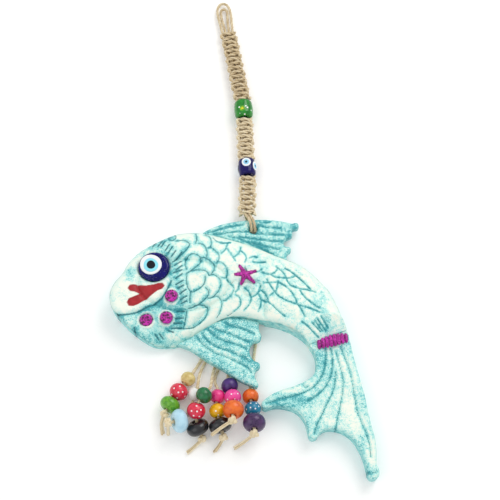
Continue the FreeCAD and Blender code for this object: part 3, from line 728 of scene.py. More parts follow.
def clay_material(name):
    """Turquoise wash over ivory clay, rubbed off the high places."""
    clay = Nodes(name)
    broad = clay.noise(9, 4, 0.6)
    middle = clay.noise(2.6, 4, 0.65, offset=3.0)
    fine = clay.noise(0.8, 3, 0.6, offset=8.0)
    grain = clay.noise(0.55, 2, 0.5, offset=31.0)
    line = clay.attribute("line")
    near = clay.add(line, clay.math("MULTIPLY_ADD", middle, 1.2, -0.6))
    speckle = clay.times(clay.span(fine, 0.50, 0.66), clay.attribute("speckle"))
    flecks = clay.times(clay.span(clay.noise(0.75, 2, 0.5, offset=44.0), 0.56, 0.64),
                        clay.span(broad, 0.38, 0.60))
    amount = clay.add(
        clay.attribute("wash"), clay.times(clay.span(near, 0.2, 3.0, 1.0, 0.0), 0.42),
        clay.span(grain, 0.35, 0.65, -0.17, 0.17), clay.span(broad, 0.3, 0.7, -0.16, 0.16),
        clay.span(middle, 0.35, 0.65, -0.20, 0.20), clay.times(clay.attribute("scale"), -0.30),
        clay.times(clay.attribute("pale"), -0.55), clay.times(speckle, -0.55),
        clay.times(flecks, 0.44))
    wall = clay.times(clay.attribute("wall"), clay.span(middle, 0.3, 0.7, 0.34, 0.72))
    amount = clay.add(clay.math("MAXIMUM", amount, wall),
                      clay.times(clay.attribute("rim"), 0.16))
    colour = clay.ramp(amount, [(0.0, IVORY), (0.25, PALE), (0.50, LIGHT), (0.78, MIDDLE),
                                (1.0, DARK)])
    warm = clay.times(clay.span(clay.noise(7, 2, 0.5, offset=20.0), 0.5, 0.75),
                      clay.attribute("scale"))
    colour = clay.mix(clay.times(warm, 0.55), colour, WARM)
    crease = clay.span(clay.add(line, clay.times(fine, 0.6)), 0.36, 0.90, 0.95, 0.0)
    colour = clay.mix(crease, colour, DEEP)
    red = clay.ramp(middle, [(0.3, DARK_RED), (0.7, LIP_RED)])
    colour = clay.mix(clay.attribute("paint"), colour, red)
    clay.bump(clay.add(clay.times(fine, 0.5), middle), 0.35)
    return clay.bsdf(colour, clay.span(middle, 0.3, 0.7, 0.38, 0.55), specular=0.3,
                     coat=0.12, coat_roughness=0.25)


# --- glass eye, buttons, starfish and tail band ---------------------------------------

def lathe(name, profile, sides, wobble, seed):
    """A mesh turned about Z; profile is a list of (radius, height) in millimetres."""
    mesh = bpy.data.meshes.new(name)
    build = bmesh.new()
    rings = []
    for radius, height in profile:
        if radius < 1e-6:
            rings.append([build.verts.new((0, 0, height * MM))])
            continue
        ring = []
        for side in range(sides):
            angle = 2 * math.pi * side / sides
            far = radius * (1 + wobble * (math.sin(2 * angle + seed)
                                          + 0.6 * math.sin(3 * angle + 2.1 * seed)))
            ring.append(build.verts.new((far * math.cos(angle) * MM,
                                         far * math.sin(angle) * MM, height * MM)))
        rings.append(ring)
    for low, high in zip(rings, rings[1:]):
        for side in range(sides):
            after = (side + 1) % sides
            if len(low) == 1:
                build.faces.new((low[0], high[side], high[after]))
            elif len(high) == 1:
                build.faces.new((low[side], low[after], high[0]))
            else:
                build.faces.new((low[side], low[after], high[after], high[side]))
    bmesh.ops.recalc_face_normals(build, faces=build.faces)
    build.to_mesh(mesh)
    build.free()
    return mesh


def cushion_profile(radius, height, edge, dome=0.0):
    """A disc with a rounded upper edge, rising from z 0 to height and then the dome."""
    steps = 8
    profile = [(0.0, 0.0), (radius - edge * 0.3, 0.0)]
    for k in range(steps + 1):
        angle = 0.5 * math.pi * k / steps
        profile.append((radius - edge + edge * math.cos(angle),
                        height - edge + edge * math.sin(angle)))
    for share in (0.75, 0.5, 0.25):
        profile.append(((radius - edge) * share, height + dome * (1 - share * share)))
    profile.append((0.0, height + dome))
    return profile


def place(x, y, z):
    return Matrix.Translation(Vector((x, y, z)) * MM)


def glass_material(name, colour, speck, clouded=0.95):
    glass = Nodes(name)
    cloud = glass.noise(2.2, 3, 0.6)
    deep = tuple(c * clouded for c in colour)
    base = glass.mix(glass.span(cloud, 0.35, 0.7), deep, colour)
    flecks = glass.span(glass.cells(1.1), 0.10, 0.16, speck, 0.0)
    base = glass.mix(flecks, base, (0.75, 0.85, 1.0))
    glass.bump(glass.noise(3.0, 2), 0.06)
    return glass.bsdf(base, 0.06, specular=0.2, coat=0.1, coat_roughness=0.03)


def make_eye():
    cobalt = glass_material("cobalt_eye_glass", (0.003, 0.003, 0.15), 0.4, 0.6)
    white = glass_material("white_eye_glass", (0.90, 0.92, 0.92), 0.0)
    pale = glass_material("pale_eye_glass", (0.30, 0.80, 0.92), 0.0)
    black = glass_material("black_eye_glass", (0.008, 0.01, 0.018), 0.0)
    add_piece("eye_disc", lathe("eye_disc", cushion_profile(11.1, 5.9, 2.2, dome=0.1), 72,
                                0.012, 2.0),
              "fish", "cobalt_glass", cobalt, "eye_glass", at=place(-62.1, 53.8, 14.5))
    for name, x, y, radius, z, height, look, slot_name in (
            ("white", -64.2, 54.8, 7.7, 20.3, 0.75, white, "white_glass"),
            ("iris", -64.1, 54.2, 5.2, 21.0, 0.45, pale, "pale_blue_glass"),
            ("pupil", -64.0, 54.3, 3.1, 21.4, 0.45, black, "black_glass")):
        add_piece("eye_" + name + "_spot",
                  lathe(name, cushion_profile(radius, height, height * 0.95), 64,
                        0.02 if name == "white" else 0.03, 1.0 + z),
                  "fish", slot_name, look, "eye_" + name, at=place(x, y, z))


def pitted_magenta(name, pit_size, pit_shade):
    """Magenta glaze with painted shade in its pits and in the grooves between the band's ribs."""
    glaze = Nodes(name)
    pits = glaze.cells(pit_size)
    fine = glaze.noise(0.8, 3)
    broad = glaze.noise(4.0, 3, offset=5.0)
    base = glaze.ramp(broad, [(0.3, (0.36, 0.004, 0.24)), (0.7, (0.60, 0.015, 0.42))])
    base = glaze.mix(glaze.times(glaze.span(fine, 0.58, 0.70), 0.5), base, (0.90, 0.14, 0.72))
    # Painted shade: the pits are darkened in the colour.
    base = glaze.mix(glaze.span(pits, 0.40, 0.54, pit_shade, 0.0), base, (0.06, 0.001, 0.04))
    # Painted shade in the grooves between the tail band's ribs.
    base = glaze.mix(glaze.times(glaze.attribute("groove"), 0.85), base, (0.05, 0.001, 0.035))
    glaze.bump(glaze.add(glaze.span(pits, 0.2, 0.5), glaze.times(fine, 0.4)), 0.4)
    return glaze.bsdf(base, 0.32, specular=0.4, coat=0.2, coat_roughness=0.12)


def dent(mesh, size, deep, seed, low=None):
    """Pit a small piece's surface with real dents."""
    points = get_points(mesh)
    normals = get_normals(mesh)
    amount = waves(points, size, seed) * deep
    if low is not None:
        amount *= step(points[:, 2], low, low + 1.0)
    set_points(mesh, points + normals * np.minimum(amount, deep * 0.3)[:, None])


def make_buttons():
    look = pitted_magenta("button_glaze", 1.35, 0.95)
    for seed, (name, middle) in enumerate(CHEEK_BUTTONS.items(), 1):
        mesh = lathe(name, cushion_profile(4.5, 4.35, 1.9, dome=0.05), 48, 0.02, seed)
        dent(mesh, 0.62, 0.28, seed, 1.5)
        add_piece(name + "_bead", mesh, "fish", "magenta_clay", look, name,
                  at=place(*middle))


# Each arm's direction in degrees and its length.
STAR_ARMS = [(20, 8.3), (123, 8.6), (180, 8.2), (247, 8.6), (316, 9.4)]


def make_starfish():
    tubes = Tubes()
    shares = np.linspace(0, 1, 9)
    for turn, reach in STAR_ARMS:
        angle = math.radians(turn)
        line = [(3.4 + far * math.cos(angle), 47.6 + far * math.sin(angle), 20.0 - 0.035 * far)
                for far in reach * shares]
        tubes.add(line, 2.15 - 1.15 * shares ** 0.8, sides=14, flat=0.85)
    mesh = remeshed(tubes.mesh("arms"), "starfish", 0.22, 8)
    dent(mesh, 0.42, 0.24, 2.0)
    add_piece("starfish_glazed", mesh, "fish", "magenta_clay",
              pitted_magenta("star_glaze", 1.1, 0.6), "starfish")


def make_band():
    """Eight ribs side by side on a core, with painted shade in the grooves between them."""
    gap = 2.8
    turn = math.radians(14.0)
    along = np.array([math.cos(turn), math.sin(turn), 0])
    across = np.array([-along[1], along[0], 0])
    tubes = Tubes()
    for rib in range(8):
        far = (rib - 3.5) * gap
        half = 4.1 - 0.16 * abs(rib - 3.5) ** 1.5
        line = []
        for share in np.linspace(-1, 1, 9):
            crown = np.array([BAND_X, BAND_Y, 15.9 - 1.3 * share ** 4 - 0.02 * far ** 2])
            line.append(crown + along * (far + 0.5 * share) + across * share * half)
        tubes.add(line, [0.9, 1.25, 1.38, 1.4, 1.4, 1.4, 1.38, 1.25, 0.9], sides=14)
    core = [np.array([BAND_X, BAND_Y, 13.6]) + along * far for far in (-9, -3, 3, 9)]
    tubes.add(core, 1.6, sides=12)
    mesh = remeshed(tubes.mesh("ribs"), "tail_band", 0.28, 3)
    dent(mesh, 0.6, 0.12, 4.0)
    flat = get_points(mesh)[:, :2] - (BAND_X, BAND_Y)
    share = (flat @ along[:2] - 0.12 * (flat @ across[:2])) / gap
    # The groove mask says where painted shade lies between the ribs.
    store(mesh, "groove", np.clip(1 - np.abs(share - np.round(share)) / 0.16, 0, 1))
    add_piece("tail_band_glazed", mesh, "fish", "magenta_clay",
              pitted_magenta("band_glaze", 1.35, 0.3), "tail_band")


# --- cords ----------------------------------------------------------------------------

# The same points as the CAD routes, in metres.
LOOPS = {
    "hanging_loop_outer": [
        (-0.0156, 0.262, 0.0042), (-0.018, 0.273, 0.0036), (-0.0208, 0.2845, 0.003),
        (-0.0186, 0.2924, 0.0026), (-0.0126, 0.2926, 0.0026), (-0.0096, 0.2852, 0.003),
        (-0.0084, 0.2735, 0.0036), (-0.0074, 0.262, 0.0042)],
    "hanging_loop_inner": [
        (-0.0129, 0.262, 0.0042), (-0.0146, 0.269, 0.0035), (-0.0163, 0.276, 0.0029),
        (-0.0173, 0.2816, 0.0026), (-0.0175, 0.2859, 0.0025), (-0.0149, 0.2875, 0.0025),
        (-0.0123, 0.2859, 0.0025), (-0.012, 0.2816, 0.0026), (-0.0118, 0.276, 0.0029),
        (-0.0112, 0.269, 0.0035), (-0.0101, 0.262, 0.0042)],
    "anchor_cord_left": [
        (0.0031, 0.0996, 0.0084), (0.0052, 0.0954, 0.0128), (0.0072, 0.0903, 0.0136),
        (0.0077, 0.0856, 0.0102), (0.0077, 0.0856, 0.004), (0.0072, 0.0899, 0.0015),
        (0.0052, 0.0954, 0.0017), (0.0031, 0.0996, 0.0056)],
    "anchor_cord_right": [
        (0.0057, 0.0996, 0.0084), (0.0078, 0.0954, 0.0128), (0.0098, 0.0903, 0.0136),
        (0.0103, 0.0856, 0.0102), (0.0103, 0.0856, 0.004), (0.0098, 0.0899, 0.0015),
        (0.0078, 0.0954, 0.0017), (0.0057, 0.0996, 0.0056)],
}

STRANDS = {
    "strand_1": {
        "route": [
            (0.0006, 0.0338, 0.0013), (-0.007, 0.029, 0.0013), (-0.0148, 0.018, 0.0013),
            (-0.0228, 0.0015, 0.0013), (-0.0274, -0.0098, 0.0014), (-0.0308, -0.0156, 0.0023),
            (-0.0335, -0.021, 0.0055), (-0.0395, -0.029, 0.0065), (-0.046, -0.0395, 0.0065),
            (-0.052, -0.05, 0.0085)],
        "beads": ["gold_bead", "red_polka_bead_left", "lime_bead"],
        "tail": [(-0.052, -0.05, 0.0085), (-0.054, -0.0565, 0.005), (-0.053, -0.063, 0.0015)]},
    "strand_2": {
        "route": [
            (0.0015, 0.032, 0.0013), (-0.0038, 0.0255, 0.0013), (-0.0118, 0.0135, 0.0013),
            (-0.0198, -0.001, 0.0013), (-0.0249, -0.0116, 0.0015), (-0.029, -0.0215, 0.0035),
            (-0.0295, -0.0315, 0.0075), (-0.0325, -0.0395, 0.0035), (-0.0362, -0.0476, 0.0052),
            (-0.0363, -0.0543, 0.0102), (-0.0487, -0.0577, 0.0158)],
        "beads": ["white_bead", None, None, "light_blue_bead"],
        "tail": [(-0.0487, -0.0577, 0.0158), (-0.049, -0.061, 0.009), (-0.0495, -0.064, 0.0015)]},
    "strand_3": {
        "route": [
            (0.0032, 0.0308, 0.0013), (0.0002, 0.0235, 0.0013), (-0.0062, 0.0105, 0.0013),
            (-0.013, -0.0045, 0.0013), (-0.0188, -0.0165, 0.0015), (-0.0198, -0.0255, 0.0065),
            (-0.0205, -0.0345, 0.0145), (-0.029, -0.0425, 0.0145), (-0.0311, -0.0549, 0.0103),
            (-0.0258, -0.0659, 0.0032)],
        "beads": ["dark_green_bead", "red_polka_bead_middle", "black_bead_left"],
        "tail": [(-0.0258, -0.0659, 0.0032), (-0.031, -0.071, 0.0016),
                 (-0.0365, -0.0755, 0.0014)]},
    "strand_4": {
        "route": [
            (0.0052, 0.0304, 0.0013), (0.0036, 0.022, 0.0013), (-0.0026, 0.008, 0.0013),
            (-0.01, -0.0065, 0.0013), (-0.0162, -0.0176, 0.0015), (-0.0186, -0.0265, 0.0024),
            (-0.015, -0.0325, 0.0065), (-0.0165, -0.0425, 0.007), (-0.015, -0.053, 0.008),
            (-0.0112, -0.066, 0.0086)],
        "beads": ["hot_pink_bead", "yellow_bead", "black_bead_right"],
        "tail": [(-0.0112, -0.066, 0.0086), (-0.0145, -0.071, 0.004), (-0.018, -0.075, 0.0015)]},
    "strand_5": {
        "route": [
            (0.0072, 0.031, 0.0013), (0.0072, 0.022, 0.0013), (0.003, 0.0075, 0.0013),
            (-0.003, -0.0075, 0.0013), (-0.0086, -0.019, 0.0015), (-0.009, -0.0255, 0.0035),
            (-0.006, -0.0345, 0.0085), (-0.0045, -0.0435, 0.0135), (-0.005, -0.0568, 0.0199)],
        "beads": ["purple_bead", "pink_polka_bead", "large_orange_bead"],
        "tail": [(-0.005, -0.0568, 0.0199), (-0.0125, -0.061, 0.017),
                 (-0.0195, -0.0655, 0.013)]},
    "strand_6": {
        "route": [
            (0.0088, 0.0324, 0.0013), (0.0112, 0.024, 0.0013), (0.0116, 0.012, 0.0013),
            (0.0104, 0, 0.0013), (0.0092, -0.0095, 0.0013), (0.0078, -0.02, 0.0013),
            (0.007, -0.0266, 0.0014), (0.0065, -0.0328, 0.0028), (0.0075, -0.042, 0.0086),
            (0.0095, -0.052, 0.0114), (0.0095, -0.0652, 0.017)],
        "beads": ["small_orange_bead", "teal_polka_bead", "dark_purple_bead"],
        "tail": [(0.0095, -0.0652, 0.017), (0.0025, -0.069, 0.008), (-0.004, -0.072, 0.0016)]},
}

STRAP_CORD = 2.2
TASSEL_CORD = 1.9
# The looks draw the tassel's twine a little thicker than its cord.
TASSEL_TWINE = 1.2 * TASSEL_CORD


def evened(points, gap):
    """The same line with its points an even distance apart."""
    runs = np.linalg.norm(np.diff(points, axis=0), axis=1)
    far = np.concatenate([[0], np.cumsum(runs)])
    count = max(4, int(far[-1] / gap))
    places = np.linspace(0, far[-1], count + 1)
    return np.stack([np.interp(places, far, points[:, k]) for k in range(3)], axis=1)


def cord_line(name, route):
    """Points in millimetres read from the NURBS spline through a route in metres."""
    data = bpy.data.curves.new(name, "CURVE")
    data.dimensions = "3D"
    data.resolution_u = 16
    spline = data.splines.new("NURBS")
    spline.points.add(len(route) - 1)
    for point, place in zip(spline.points, route):
        point.co = (*place, 1.0)
    spline.order_u = 3
    spline.use_endpoint_u = True
    work = bpy.data.objects.new(name + "_line", data)
    scene.collection.objects.link(work)
    bpy.context.view_layer.update()
    line = get_points(evaluated(work))
    bpy.data.objects.remove(work)
    return evened(line, 0.45)


def frames_along(points):
    """Tangents and two crosswise directions that turn as little as they can."""
    tangents = np.gradient(points, axis=0)
    tangents /= np.linalg.norm(tangents, axis=1)[:, None]
    side = np.cross(tangents[0], (0, 0, 1))
    if np.linalg.norm(side) < 0.2:
        side = np.cross(tangents[0], (1, 0, 0))
    sides = []
    for tangent in tangents:
        side = side - tangent * (side @ tangent)
        side = side / np.linalg.norm(side)
        sides.append(side)
    sides = np.array(sides)
    return tangents, sides, np.cross(tangents, sides)


class Tubes:
    """Tubes gathered into one mesh, each point with a shade from 0 to 1."""

    def __init__(self):
        self.points = []
        self.faces = []
        self.shades = []

    def add(self, line, radius, shade=0.5, sides=9, flat=1.0):
        """A closed tube round a line; radius is one number or one for each point."""
        line = np.asarray(line, float)
        radii = np.broadcast_to(np.asarray(radius, float), (len(line),))
        _, side, lift = frames_along(line)
        start = len(self.points)
        for place, far, a, b in zip(line, radii, side, lift):
            for k in range(sides):
                angle = 2 * math.pi * k / sides
                self.points.append(place + far * (math.cos(angle) * a
                                                  + flat * math.sin(angle) * b))
                self.shades.append(shade)
        for ring in range(len(line) - 1):
            low = start + ring * sides
            for k in range(sides):
                after = (k + 1) % sides
                self.faces.append((low + k, low + after, low + sides + after,
                                   low + sides + k))
        self.faces.append(tuple(range(start, start + sides))[::-1])
        last = start + (len(line) - 1) * sides
        self.faces.append(tuple(range(last, last + sides)))

    def mesh(self, name):
        mesh = bpy.data.meshes.new(name)
        mesh.from_pydata([tuple(p * MM) for p in self.points], [], self.faces)
        mesh.update()
        store(mesh, "shade", np.array(self.shades))
        return mesh


def twisted(line, diameter, lay, plies, turn):
    """The centrelines of the plies of a twisted cord."""
    _, side, lift = frames_along(line)
    far = np.concatenate([[0], np.cumsum(np.linalg.norm(np.diff(line, axis=0), axis=1))])
    out = []
    for ply in range(plies):
        angle = 2 * math.pi * (far / lay + ply / plies) + turn
        out.append(line + 0.25 * diameter * (np.cos(angle)[:, None] * side
                                             + np.sin(angle)[:, None] * lift))
    return out


def add_twine(tubes, line, diameter, lay=None, plies=3, shade=0.5, seed=0, fuzz=0.0,
              sides=8):
    """Twisted twine along a line, with a few loose fibres standing off it."""
    rng = np.random.default_rng(seed)
    lay = lay or 3.4 * diameter
    for ply in twisted(line, diameter, lay, plies, seed * 1.3):
        own = shade + rng.uniform(-0.16, 0.16)
        swell = 1 + 0.07 * np.sin(np.arange(len(ply)) * 0.23 + rng.uniform(0, 6))
        tubes.add(ply, 0.262 * diameter * swell, own, sides)
    tangents, side, lift = frames_along(line)
    length = len(line) * np.linalg.norm(line[1] - line[0])
    for _ in range(int(fuzz * length)):
        k = rng.integers(0, len(line) - 1)
        angle = rng.uniform(0, 2 * math.pi)
        out = math.cos(angle) * side[k] + math.sin(angle) * lift[k]
        along = tangents[k] * rng.choice([-1, 1])
        root = line[k] + out * diameter * 0.42
        reach = rng.uniform(0.8, 2.2)
        lean = rng.uniform(0.15, 0.7)
        share = np.linspace(0, 1, 4)[:, None]
        hair = root + along * share * reach + out * lean * reach * share ** 1.6
        hair[:, 2] = np.maximum(hair[:, 2], 0.06)
        tubes.add(hair, np.linspace(0.055, 0.03, 4), own, 3)


def twine_material(name, dark, middle, light):
    twine = Nodes(name)
    fibre = twine.noise(0.35, 4, 0.65)
    patch = twine.noise(3.2, 2, 0.5, offset=4.0)
    tone = twine.add(twine.times(twine.attribute("shade"), 0.7), twine.times(fibre, 0.45),
                     twine.times(patch, 0.25), -0.22)
    colour = twine.ramp(tone, [(0.15, dark), (0.45, middle), (0.75, light)])
    twine.bump(fibre, 0.18)
    return twine.bsdf(colour, 0.82, specular=0.2, sheen=0.25)


def seed_of(name):
    """A number that stays the same for a name, to start random draws."""
    return sum(ord(letter) * (k + 1) for k, letter in enumerate(name)) % 997


def make_loops(look):
    """The loops at the strap's top and the cords through the dorsal hole."""
    for name, route in LOOPS.items():
        line = cord_line(name, route)
        tubes = Tubes()
        add_twine(tubes, line, STRAP_CORD, seed=seed_of(name), fuzz=0.5,
                  lay=9.0 if "loop" in name else 7.0)
        piece = add_piece(name + "_twine", tubes.mesh(name), "strap", "hemp", look, name)


# --- the strap's square knots -----------------------------------------------------------

# Where each run of square knots starts and ends, and how many knots it has.
SINNETS = {
    "strap_sinnet_lower": ((4.4, 98.8, 7.4), (4.9, 131.6, 7.4), 4),
    "strap_sinnet_middle": ((3.8, 145.2, 7.4), (2.2, 181.6, 7.4), 5),
    "strap_sinnet_upper": ((1.0, 196.9, 7.4), (-11.3, 263.0, 4.2), 8),
}
KNOT_WIDE, KNOT_DEEP = 5.2, 1.7
KNOT_TWINE = 2.85
# How far a turn of twine may be from its even place: along, across, to the front.
KNOT_SHAKE = (0.12, 0.16, 0.10)

# One square knot, first of the cord that passes in front and then of the one
# behind: how far along the knot, across it from -1 to 1, and towards the front.
FRONT_PATH = [(0.00, -0.90, -0.70), (0.10, -0.95, -0.40), (0.17, -0.74, 0.55),
              (0.22, -0.35, 1.15), (0.27, 0.25, 1.15), (0.33, 0.70, 0.60),
              (0.40, 0.95, -0.30), (0.50, 0.90, -0.70), (0.60, 0.95, -0.40),
              (0.67, 0.74, 0.55), (0.72, 0.35, 1.15), (0.77, -0.25, 1.15),
              (0.83, -0.70, 0.60), (0.90, -0.95, -0.30)]
BACK_PATH = [(0.00, 1.06, 0.72), (0.10, 1.10, 0.80), (0.20, 1.05, 0.50),
             (0.27, 0.85, -0.45), (0.31, 0.30, -1.10), (0.35, -0.30, -1.10),
             (0.39, -0.85, -0.45), (0.46, -1.05, 0.50), (0.54, -1.10, 0.80),
             (0.64, -1.10, 0.80), (0.72, -1.05, 0.50), (0.78, -0.85, -0.45),
             (0.82, -0.30, -1.10), (0.86, 0.30, -1.10), (0.90, 0.85, -0.45),
             (0.95, 1.03, 0.35)]


def make_sinnets(look):
    """Square knots tied with two working cords round two straight ones."""
    for name, (start, end, knots) in SINNETS.items():
        start, end = np.array(start), np.array(end)
        run = end - start
        length = np.linalg.norm(run)
        along = run / length
        across = np.cross(along, (0, 0, 1))
        across /= np.linalg.norm(across)
        front = np.cross(across, along)
        rng = np.random.default_rng(seed_of(name))
        tubes = Tubes()
        each = length / knots
        for path, tone in ((FRONT_PATH, 0.55), (BACK_PATH, 0.62)):
            places = []
            for knot in range(knots):
                for share, side, lift in path:
                    shake = rng.uniform(-1, 1, 3) * KNOT_SHAKE
                    places.append(start + along * ((knot + share) * each + shake[0])
                                  + across * (side * KNOT_WIDE + shake[1])
                                  + front * (lift * KNOT_DEEP + shake[2]))
            line = evened(smoothed_line(places, 5), 0.5)
            add_twine(tubes, line, KNOT_TWINE, lay=11.0, plies=2, shade=tone,
                      seed=seed_of(name) + len(places), fuzz=0.12, sides=9)
        for side in (-1.25, 1.25):
            core = evened(np.array([start + across * side, end + across * side]), 0.8)
            add_twine(tubes, core, STRAP_CORD, shade=0.35, seed=7)
        add_piece(name + "_knots", tubes.mesh(name), "strap", "hemp", look, name)


# --- beads --------------------------------------------------------------------------------

# Half width and half height of each tassel bead.
BEAD_SIZES = {
    "gold_bead": (5.2, 4.9), "red_polka_bead_left": (6.4, 5.9), "lime_bead": (7.2, 4.6),
    "white_bead": (5.3, 4.9), "light_blue_bead": (8.15, 4.4), "dark_green_bead": (5.8, 5.3),
    "red_polka_bead_middle": (6.4, 5.8), "black_bead_left": (7.9, 4.5),
    "hot_pink_bead": (5.3, 4.9), "yellow_bead": (5.7, 5.2), "black_bead_right": (7.9, 4.5),
    "purple_bead": (5.9, 5.3), "pink_polka_bead": (5.8, 5.2),
    "large_orange_bead": (7.3, 5.6), "small_orange_bead": (5.7, 5.2),
    "teal_polka_bead": (5.7, 5.2), "dark_purple_bead": (7.8, 5.6),
}
BORE = 2.1

# Paint colours: dark, light, and how glossy.
RED = ((0.60, 0.012, 0.04), (0.78, 0.03, 0.08), 0.22)
BLACK = ((0.006, 0.006, 0.008), (0.016, 0.016, 0.02), 0.16)
ORANGE = ((0.72, 0.10, 0.008), (0.87, 0.17, 0.012))
PAINTS = {
    "gold_bead": ((0.52, 0.37, 0.11), (0.80, 0.64, 0.28), 0.36),
    "red_polka_bead_left": RED,
    "lime_bead": ((0.06, 0.25, 0.01), (0.15, 0.44, 0.02), 0.20),
    "white_bead": ((0.80, 0.80, 0.78), (0.90, 0.90, 0.88), 0.25),
    "light_blue_bead": ((0.40, 0.66, 0.80), (0.50, 0.76, 0.88), 0.30),
    "dark_green_bead": ((0.005, 0.10, 0.03), (0.01, 0.19, 0.06), 0.15),
    "red_polka_bead_middle": RED,
    "black_bead_left": BLACK,
    "hot_pink_bead": ((0.75, 0.02, 0.20), (0.88, 0.06, 0.30), 0.25),
    "yellow_bead": ((0.78, 0.38, 0.002), (0.92, 0.54, 0.005), 0.16),
    "black_bead_right": BLACK,
    "purple_bead": ((0.035, 0.008, 0.10), (0.07, 0.018, 0.19), 0.28),
    "pink_polka_bead": ((0.80, 0.03, 0.28), (0.92, 0.08, 0.38), 0.22),
    "large_orange_bead": (*ORANGE, 0.30),
    "small_orange_bead": (*ORANGE, 0.24),
    "teal_polka_bead": ((0.003, 0.12, 0.24), (0.008, 0.23, 0.38), 0.20),
    "dark_purple_bead": ((0.03, 0.008, 0.06), (0.075, 0.022, 0.12), 0.26),
}

# Where painted dots show, as millimetres right of and above the bead's middle
# as the camera sees it; the rest of each ring of dots goes round behind.
DOTS = {
    "red_polka_bead_left": [(0.3, 0.6), (3.2, 0.8), (-2.8, 3.2), (-0.6, -3.6), (4.6, -2.6),
                            (-4.6, -1.2), (1.2, 4.6)],
    "red_polka_bead_middle": [(0.6, 4.2), (-2.8, 0.8), (-1.4, -2.4), (2.5, -3.2),
                              (3.6, 1.4), (-4.8, -2.8), (0.2, -5.4), (1.0, 0.6)],
    "pink_polka_bead": [(-0.8, 2.9), (1.6, -0.6), (4.3, -1.8), (-3.6, -1.0), (3.6, 3.0)],
    "teal_polka_bead": [(-1.6, 1.9), (1.8, 1.2), (4.1, 2.4), (2.4, 4.4), (-1.4, 4.6),
                        (-4.4, 0.4), (-1.2, -2.2), (3.6, -2.4)],
    "yellow_bead": [(-0.9, 0.9), (0.9, -1.9)],
}
VIEW_UP = Vector((0, 0.9272, 0.3746))
VIEW_BACK = Vector((0, -0.3746, 0.9272))
RIGHT = Vector((1, 0, 0))
UP = Vector((0, 0, 1))
DOT_WHITE = (0.9, 0.87, 0.88)


def bead_profile(wide, tall):
    """A bead's outline, from its bore round the outside and back down the bore."""
    top = tall * math.sqrt(1 - (BORE / wide) ** 2)
    chord = wide - BORE
    round_off = (top * top + chord * chord) / (2 * chord)
    middle = wide - round_off
    reach = math.asin(min(1.0, top / round_off))
    if middle + round_off * math.cos(reach) > BORE + 0.05:
        reach = math.pi - reach
    edge = 0.35
    rows = 26
    profile = [(BORE, -top + edge)]
    for row in range(1, rows):
        angle = reach * (2 * row / rows - 1)
        profile.append((middle + round_off * math.cos(angle), round_off * math.sin(angle)))
    return profile + [(BORE, top - edge)]


def closed_lathe(name, profile, sides, squash, seed):
    """A ring turned about Z from a closed profile, a little out of round."""
    mesh = bpy.data.meshes.new(name)
    points, faces = [], []
    rows = len(profile)
    for radius, height in profile:
        for side in range(sides):
            angle = 2 * math.pi * side / sides
            far = radius * (1 + squash * math.sin(2 * angle + seed))
            points.append((far * math.cos(angle) * MM, far * math.sin(angle) * MM,
                           height * MM))
    for row in range(rows):
        after = (row + 1) % rows
        for side in range(sides):
            other = (side + 1) % sides
            faces.append((row * sides + side, row * sides + other, after * sides + other,
                          after * sides + side))
    mesh.from_pydata(points, [], faces)
    mesh.update()
    return mesh


def bead_place(middle, direction):
    turn = UP.rotation_difference(Vector(direction).normalized())
    return Matrix.Translation(Vector(middle) * MM) @ turn.to_matrix().to_4x4()


def paint_material(name, dark, light, gloss, dots, dot_size):
    """Brushed paint on wood, with white dots if the bead has any."""
    paint = Nodes(name)
    cloud = paint.noise(3.0, 3, 0.5, offset=seed_of(name) * 0.37)
    grain = paint.noise(0.9, 3, 0.6, stretch=(1, 1, 0.25))
    base = paint.mix(paint.span(cloud, 0.3, 0.7), dark, light)
    base = paint.mix(paint.span(grain, 0.55, 0.8, 0.0, 0.35), base, dark)
    if dots:
        base = paint.mix(paint.dots(dots, dot_size), base, DOT_WHITE)
    paint.bump(grain, 0.06)
    rough = paint.span(cloud, 0.3, 0.7, gloss, gloss + 0.12)
    return paint.bsdf(base, rough, specular=0.45, coat=0.3, coat_roughness=0.04)


def local_dots(name, wide):
    """Where the bead's dots are from its middle, with more of them round the back."""
    dots = []
    for right, above in DOTS.get(name, []):
        deep = math.sqrt(max(0.0, wide * wide - right * right - above * above))
        towards = RIGHT * right + VIEW_UP * above + VIEW_BACK * deep
        dots.append(tuple(towards.normalized() * wide * 0.98))
    if name in DOTS and name != "yellow_bead":
        for k in range(7):
            angle = 0.9 * k + 0.4
            lean = 0.5 * math.sin(2.3 * k)
            away = Vector((math.cos(angle), math.sin(angle), 0)) * wide + VIEW_UP * lean
            away -= VIEW_BACK * (0.5 + 0.4 * math.sin(1.7 * k)) * wide
            dots.append(tuple(away.normalized() * wide * 0.98))
    return dots


def make_tassel(look):
    """Each strand with the beads threaded on its last stretches and its knot."""
    for name, plan in STRANDS.items():
        route = plan["route"]
        line = cord_line(name, route)
        tubes = Tubes()
        add_twine(tubes, line, TASSEL_TWINE, seed=seed_of(name), fuzz=0.18, lay=5.2)
        strand = add_piece(name + "_twine", tubes.mesh(name), "tassel", "hemp", look, name)
        places = [np.array(p) / MM for p in route]
        knot_middle = places[-1]
        last = places[-1] - places[-2]
        places[-1] = knot_middle - last / np.linalg.norm(last) * 3.1
        stretches = list(zip(places, places[1:]))[-len(plan["beads"]):]
        for bead, (start, end) in zip(plan["beads"], stretches):
            if bead:
                make_tassel_bead(bead, (start + end) / 2, end - start)
        knot = make_knot(name.replace("strand", "knot"), knot_middle, last, plan["tail"],
                         look)


def make_tassel_bead(name, middle, direction):
    wide, tall = BEAD_SIZES[name]
    place = bead_place(middle, direction)
    mesh = closed_lathe(name, bead_profile(wide, tall), 56, 0.006, seed_of(name))
    dark, light, gloss = PAINTS[name]
    size = 0.62 if "red" in name or "yellow" in name else 0.58
    paint = paint_material(name + "_paint", dark, light, gloss,
                           local_dots(name, wide), size)
    return add_piece(name + "_wood", mesh, name, name + "_paint", paint, name, at=place)


